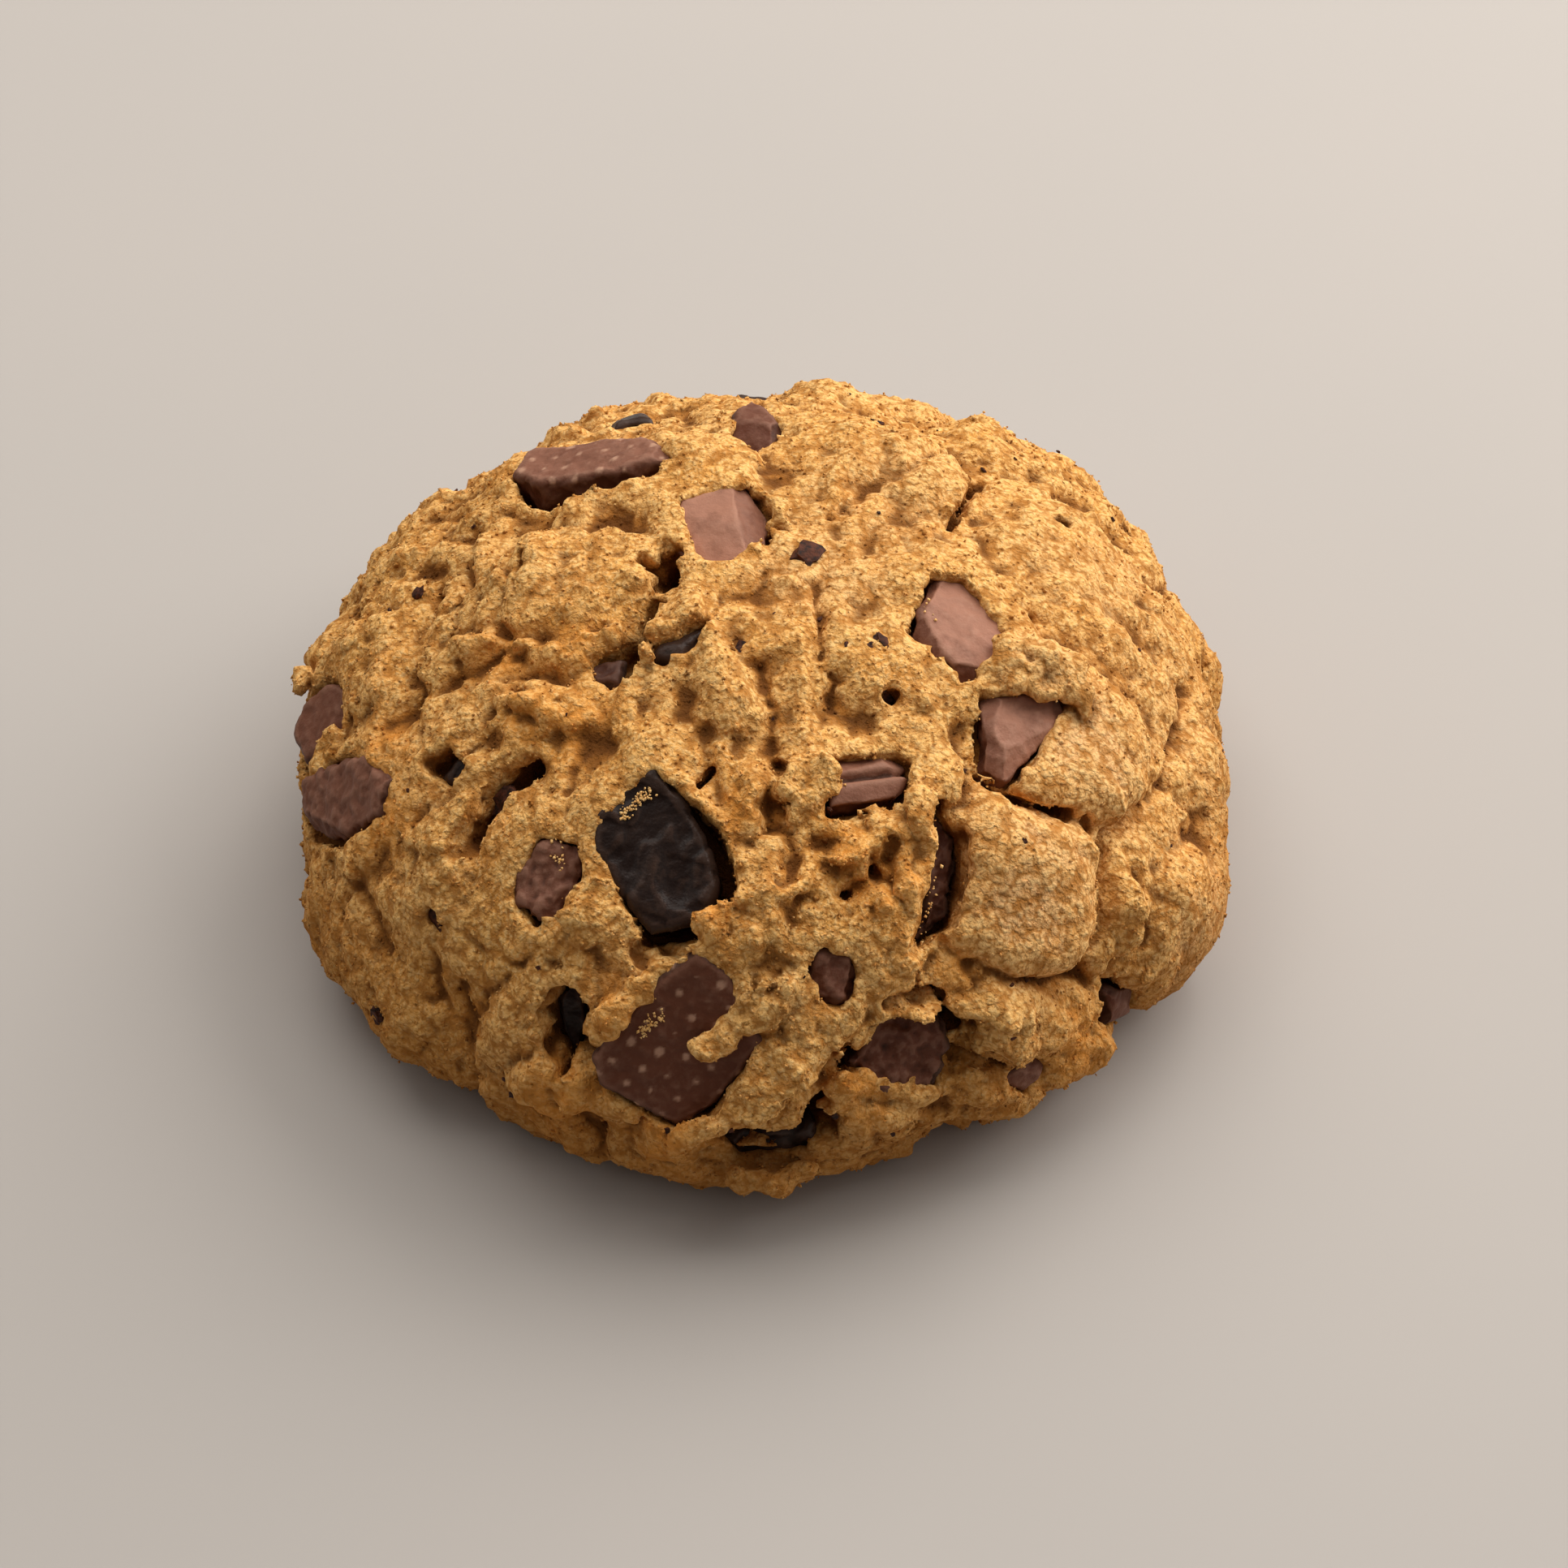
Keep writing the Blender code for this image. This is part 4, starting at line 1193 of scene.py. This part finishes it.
def streak_places(chunks):
    """Places and normals of the crumbs that lie on chunks."""
    rng = np.random.default_rng(96)
    by_name = {chunk.name: chunk for chunk in chunks}
    places, outward = [], []
    for name, count, (start, end) in CRUMB_STREAKS:
        chunk = by_name[name]
        for share in rng.random(count):
            stray = rng.normal(scale=STREAK_SPREAD, size=2)
            places.append(on_chunk(chunk, *(np.array(start) + share * (np.array(end) - start) + stray)))
            outward.append(chunk.up)
    return np.array(places), np.array(outward)


def make_flecks(dough, field):
    """Bits of chocolate caught in the crust, in one mesh."""
    rng = np.random.default_rng(93)
    ball, faces = round_ball()
    places = [(field.crust_point(e, n, up), length / 2, width / 2) for e, n, up, length, width in FLECKS]
    spots = surface_places(dough.data, RANDOM_FLECKS, rng, positions(dough.data)[:, 2] > FLECKS_FROM)[0]
    for spot, size in zip(spots, rng.uniform(*FLECK_SIZES, len(spots)) ** 1.5):
        places.append((spot, size, size * rng.uniform(0.5, 1)))
    vertices, polygons = [], []
    for spot, length, width in places:
        outward = unit(spot - CENTRE)
        along = unit(np.cross(outward, rng.normal(size=3)))
        lumpy = np.sign(ball) * np.abs(ball) ** 0.6 * rng.uniform(0.6, 1.15, size=(len(ball), 1))
        sizes = np.stack([along * length, np.cross(outward, along) * width, outward * 0.5 * width])
        polygons.append(faces + len(ball) * len(vertices))
        vertices.append(spot + lumpy @ sizes)
    vertices = np.concatenate(vertices)
    vertices[:, 2] = np.maximum(vertices[:, 2], 0)
    return new_object("chocolate_flecks", vertices, np.concatenate(polygons))


def round_ball():
    """Points and triangles of a ball of radius 1."""
    bpy.ops.mesh.primitive_ico_sphere_add(subdivisions=2, radius=1)
    ball = bpy.context.object
    points = positions(ball.data) * MM
    faces = np.array([list(polygon.vertices) for polygon in ball.data.polygons])
    bpy.data.objects.remove(ball)
    return points, faces


class Material:
    """A Principled material built up node by node."""

    def __init__(self, name):
        self.material = bpy.data.materials.new(name)
        self.material.use_nodes = True
        self.tree = self.material.node_tree
        self.shader = self.tree.nodes["Principled BSDF"]
        self.place = self.add("ShaderNodeTexCoord").outputs["Object"]

    def add(self, kind, **settings):
        node = self.tree.nodes.new(kind)
        for name, value in settings.items():
            setattr(node, name, value)
        return node

    def feed(self, socket, value):
        if isinstance(value, bpy.types.NodeSocket):
            self.tree.links.new(value, socket)
        else:
            socket.default_value = value

    def noise(self, size, detail=2.0, roughness=0.5, distortion=0.0):
        """Noise, 0 to 1, with features of this size in mm."""
        node = self.add("ShaderNodeTexNoise")
        self.feed(node.inputs["Vector"], self.place)
        self.feed(node.inputs["Scale"], 1 / (size * MM))
        self.feed(node.inputs["Detail"], detail)
        self.feed(node.inputs["Roughness"], roughness)
        self.feed(node.inputs["Distortion"], distortion)
        return node.outputs["Fac"]

    def cells(self, size, stray):
        """Distance, in cells, to the nearest of points scattered this many mm apart, strayed by some mm."""
        noise = self.add("ShaderNodeTexNoise")
        self.feed(noise.inputs["Vector"], self.place)
        self.feed(noise.inputs["Scale"], 0.7 / (size * MM))
        strayed = self.add("ShaderNodeVectorMath", operation="MULTIPLY_ADD")
        self.feed(strayed.inputs[0], noise.outputs["Color"])
        self.feed(strayed.inputs[1], (stray * MM,) * 3)
        self.feed(strayed.inputs[2], self.place)
        node = self.add("ShaderNodeTexVoronoi")
        self.feed(node.inputs["Vector"], strayed.outputs["Vector"])
        self.feed(node.inputs["Scale"], 1 / (size * MM))
        return node.outputs["Distance"]

    def attribute(self, name):
        return self.add("ShaderNodeAttribute", attribute_name=name).outputs["Fac"]

    def maths(self, operation, a, b=0.0, c=0.0):
        node = self.add("ShaderNodeMath", operation=operation)
        for socket, value in zip(node.inputs, (a, b, c)):
            self.feed(socket, value)
        return node.outputs[0]

    def ramp(self, value, low, high, to_low=0.0, to_high=1.0):
        node = self.add("ShaderNodeMapRange")
        for name, given in (
            ("Value", value), ("From Min", low), ("From Max", high), ("To Min", to_low), ("To Max", to_high)
        ):
            self.feed(node.inputs[name], given)
        return node.outputs[0]

    def mix(self, share, a, b):
        node = self.add("ShaderNodeMix", data_type="RGBA")
        self.feed(node.inputs["Factor"], share)
        for name, value in (("A", a), ("B", b)):
            socket = [s for s in node.inputs if s.name == name and s.type == "RGBA"][0]
            self.feed(socket, value if isinstance(value, bpy.types.NodeSocket) else (*value, 1.0))
        return [s for s in node.outputs if s.type == "RGBA"][0]

    def bump(self, height, distance, strength=1.0, under=None):
        node = self.add("ShaderNodeBump")
        self.feed(node.inputs["Height"], height)
        self.feed(node.inputs["Distance"], distance * MM)
        self.feed(node.inputs["Strength"], strength)
        if under is not None:
            self.feed(node.inputs["Normal"], under)
        return node.outputs["Normal"]

    def set(self, **values):
        for name, value in values.items():
            socket = self.shader.inputs[name.replace("_", " ")]
            self.feed(socket, (*value, 1.0) if isinstance(value, tuple) and len(value) == 3 else value)

    def on(self, *pieces):
        for piece in pieces:
            piece.data.materials.clear()
            piece.data.materials.append(self.material)


def dough_material():
    m = Material("baked_dough")
    toast = m.noise(9.0, 3.0, 0.55)
    patches = m.noise(5.0, 2.0, 0.5, 0.6)
    mottle = m.noise(1.6, 4.0, 0.65)
    grain = m.noise(0.36, 2.0, 0.6)
    gaps = m.cells(0.55, 0.9)
    clusters = m.cells(1.2, 1.6)
    hollow = m.attribute("hollow")
    deep = m.attribute("deep")
    low = m.attribute("low")
    colour = m.mix(m.ramp(toast, 0.38, 0.62), CRUST_PALE, CRUST_TOASTED)
    colour = m.mix(m.ramp(m.attribute("rugged"), 0.65, 0.3, 0.0, 0.8), colour, CRUST_SMOOTH)
    colour = m.mix(m.ramp(mottle, 0.5, 0.72, 0.0, 0.6), colour, CRUST_BROWN)
    orange = m.ramp(patches, 0.52, 0.68, 0.0, 0.75)
    orange = m.maths("MULTIPLY", orange, m.ramp(hollow, 0.0, -0.15, 0.25, 1.0))
    colour = m.mix(orange, colour, CRUST_ORANGE)
    # Painted highlight: paler on crests and tips
    colour = m.mix(m.ramp(hollow, -0.03, -0.2, 0.0, 0.5), colour, CRUST_TIP_HIGHLIGHT)
    colour = m.mix(m.ramp(grain, 0.48, 0.66, 0.0, 0.7), colour, CRUST_GRAIN)
    colour = m.mix(m.ramp(grain, 0.44, 0.28, 0.0, 0.85), colour, CRUST_GAP)
    colour = m.mix(m.ramp(gaps, 0.5, 0.8, 0.0, 0.8), colour, CRUST_GAP)
    colour = m.mix(m.ramp(clusters, 0.52, 0.8, 0.0, 0.8), colour, CRUST_GAP)
    # Darker towards the floor: partly toasting near the base, partly painted shade on the lower sides
    colour = m.mix(m.ramp(low, 0.0, 1.0, 0.0, 0.8), colour, CRUST_BASE)
    # Broad valleys browner: partly the crust's own tone, partly painted shade
    colour = m.mix(m.ramp(deep, 0.0, 0.4, 0.0, 0.85), colour, CRUST_VALLEY_TONE_AND_SHADE)
    toasted = m.maths("MULTIPLY", m.attribute("toasted"), m.ramp(mottle, 0.35, 0.65, 0.15, 0.7))
    colour = m.mix(toasted, colour, CRUST_ORANGE)
    # Painted shade: darker in crevices, in deep hollows and on the walls of gaps and pits below the crust
    colour = m.mix(m.ramp(hollow, 0.03, 0.3, 0.0, 0.8), colour, CREVICE_SHADE)
    colour = m.mix(m.ramp(deep, 0.4, 1.1, 0.0, 0.9), colour, CREVICE_SHADE)
    colour = m.mix(m.ramp(m.attribute("sunk"), 1.0, 3.2, 0.0, 0.95), colour, CREVICE_SHADE)
    m.set(Base_Color=colour, Roughness=m.ramp(grain, 0.3, 0.7, 0.95, 0.75), IOR=1.42)
    m.set(Specular_IOR_Level=0.12)
    coarse = m.bump(clusters, -0.2, 0.9)
    m.set(Normal=m.bump(grain, 0.2, 0.9, under=m.bump(gaps, -0.14, 0.9, under=coarse)))
    return m


def chocolate_material():
    m = Material("cut_chocolate")
    shade = m.attribute("shade")
    bloom = m.attribute("bloom")
    dots = m.attribute("dots")
    hollow = m.attribute("hollow")
    dust = m.noise(0.7, 4.0, 0.65)
    mottle = m.noise(2.2, 4.0, 0.6)
    dark = m.ramp(shade, 0.25, 0.05)
    # Paler with a higher shade value: partly bloom, partly painted light on chunks that face the lamps
    colour = m.mix(m.ramp(shade, 0.25, 1.0), CHOCOLATE_MILK, CHOCOLATE_BLOOMED_AND_LIT)
    colour = m.mix(m.ramp(mottle, 0.5, 0.7, 0.0, 0.45), colour, CHOCOLATE_MILK)
    colour = m.mix(dark, colour, CHOCOLATE_DARK)
    paler = m.maths("MULTIPLY", m.ramp(dust, 0.45, 0.7), m.ramp(bloom, 0.3, 0.8))
    colour = m.mix(m.maths("MULTIPLY", paler, m.ramp(shade, 0.0, 1.0, 0.06, 0.45)), colour, BLOOM_AND_EDGE_HIGHLIGHT)
    # Painted highlight: paler along the convex edges of the chunks
    edge_highlight = m.maths("MULTIPLY", m.ramp(hollow, -0.01, -0.07), m.ramp(shade, 0.0, 0.6, 0.07, 0.22))
    colour = m.mix(edge_highlight, colour, BLOOM_AND_EDGE_HIGHLIGHT)
    # Painted shade: darker in the chunk's hollows and grooves
    colour = m.mix(m.ramp(hollow, 0.04, 0.2, 0.0, 0.6), colour, CHOCOLATE_DARK)
    colour = m.mix(m.ramp(dots, 0.0, 1.0, 0.0, 0.75), colour, BLOOM_DOT)
    m.set(Base_Color=colour, Roughness=m.ramp(dark, 0.0, 1.0, 0.55, 0.32), IOR=1.45)
    m.set(Specular_IOR_Level=0.18)
    rough = m.bump(m.noise(0.9, 4.0, 0.55), 0.2, 0.6)
    m.set(Normal=m.bump(m.noise(0.2, 2.0), 0.05, 0.5, under=rough))
    return m


def mottled_material(name, dark, light, roughness):
    """For bits too small to show more than a change of colour."""
    m = Material(name)
    m.set(Base_Color=m.mix(m.ramp(m.noise(0.5, 3.0), 0.35, 0.65), dark, light), Roughness=roughness)
    m.set(Specular_IOR_Level=0.12, Normal=m.bump(m.noise(0.2, 2.0), 0.06, 0.6))
    return m


def make_floor():
    """The plain pale table."""
    corners = np.array([[-1, -1, 0], [1, -1, 0], [1, 1, 0], [-1, 1, 0]]) * FLOOR_HALF / MM
    floor = new_object("floor", corners, [[0, 1, 2, 3]])
    m = Material("plain_table")
    m.set(Base_Color=m.mix(m.noise(60, 2.0), FLOOR_COLOUR, FLOOR_OTHER), Roughness=0.8)
    m.on(floor)


def make_lights():
    world = bpy.data.worlds.new("studio")
    world.use_nodes = True
    world.node_tree.nodes["Background"].inputs["Color"].default_value = (*SKY_COLOUR, 1)
    world.node_tree.nodes["Background"].inputs["Strength"].default_value = SKY_STRENGTH
    bpy.context.scene.world = world
    for name, compass, high, size, power in LIGHTS:
        data = bpy.data.lights.new(name, "AREA")
        data.size = size
        data.energy = power
        data.color = LIGHT_COLOUR
        light = bpy.data.objects.new(name, data)
        turn, lift = math.radians(compass), math.radians(high)
        level = LIGHT_AWAY * math.cos(lift)
        light.location = (level * math.cos(turn), level * math.sin(turn), LIGHT_AWAY * math.sin(lift))
        light.rotation_euler = (-light.location).to_track_quat("-Z", "Y").to_euler()
        bpy.context.scene.collection.objects.link(light)


def make_camera():
    scene = bpy.context.scene
    camera = bpy.data.objects.new("camera", bpy.data.cameras.new("camera"))
    camera.data.lens = CAMERA_LENS
    camera.data.shift_x, camera.data.shift_y = CAMERA_SHIFT
    camera.data.clip_start = 0.01
    low = math.radians(CAMERA_ELEVATION)
    camera.location = Vector((0, -math.cos(low), math.sin(low))) * CAMERA_AWAY + Vector(CAMERA_TARGET)
    camera.rotation_euler = (math.pi / 2 - low, 0, 0)
    scene.collection.objects.link(camera)
    scene.camera = camera
    scene.view_settings.view_transform = "Standard"


def dress(piece, material, slot_name, *nodes):
    material.on(piece)
    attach(piece, "root")
    if nodes:
        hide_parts(*nodes)


def main():
    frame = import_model()
    nodes = {name: node for name, node in frame["nodes"].items() if name != "dough"}
    chunks = [Chunk(name, node) for name, node in nodes.items()]
    crown_map = CrownMap()
    crown_map.build()
    field = DoughField(crown_map, chunks)
    field.build()
    dough = make_dough(crown_map, field)
    crust = dough_material()
    dress(dough, crust, "dough", "dough")
    chocolate = chocolate_material()
    for chunk in chunks:
        slot_name = "dark_chocolate" if chunk.name.startswith("dark") else "milk_chocolate"
        dress(make_chunk(chunk, nodes[chunk.name]), chocolate, slot_name, chunk.name)
    bits = mottled_material("chocolate_bits", CHOCOLATE_DARK, CHOCOLATE_MILK, 0.6)
    dress(make_flecks(dough, field), bits, "dark_chocolate")
    for grains in CRUST_GRAINS:
        dress(make_crumb(dough, *grains), crust, "dough")
    streaks = streak_places(chunks)
    loose = make_grains("crumbs_on_chunks", *streaks, LOOSE_GRAIN_SIZES, LOOSE_GRAIN_DEPTH, LOOSE_GRAIN_SEED)
    dress(loose, mottled_material("loose_crumb", CRUST_PALE, CRUST_GRAIN, 0.85), "dough")
    make_floor()
    make_lights()
    make_camera()


main()
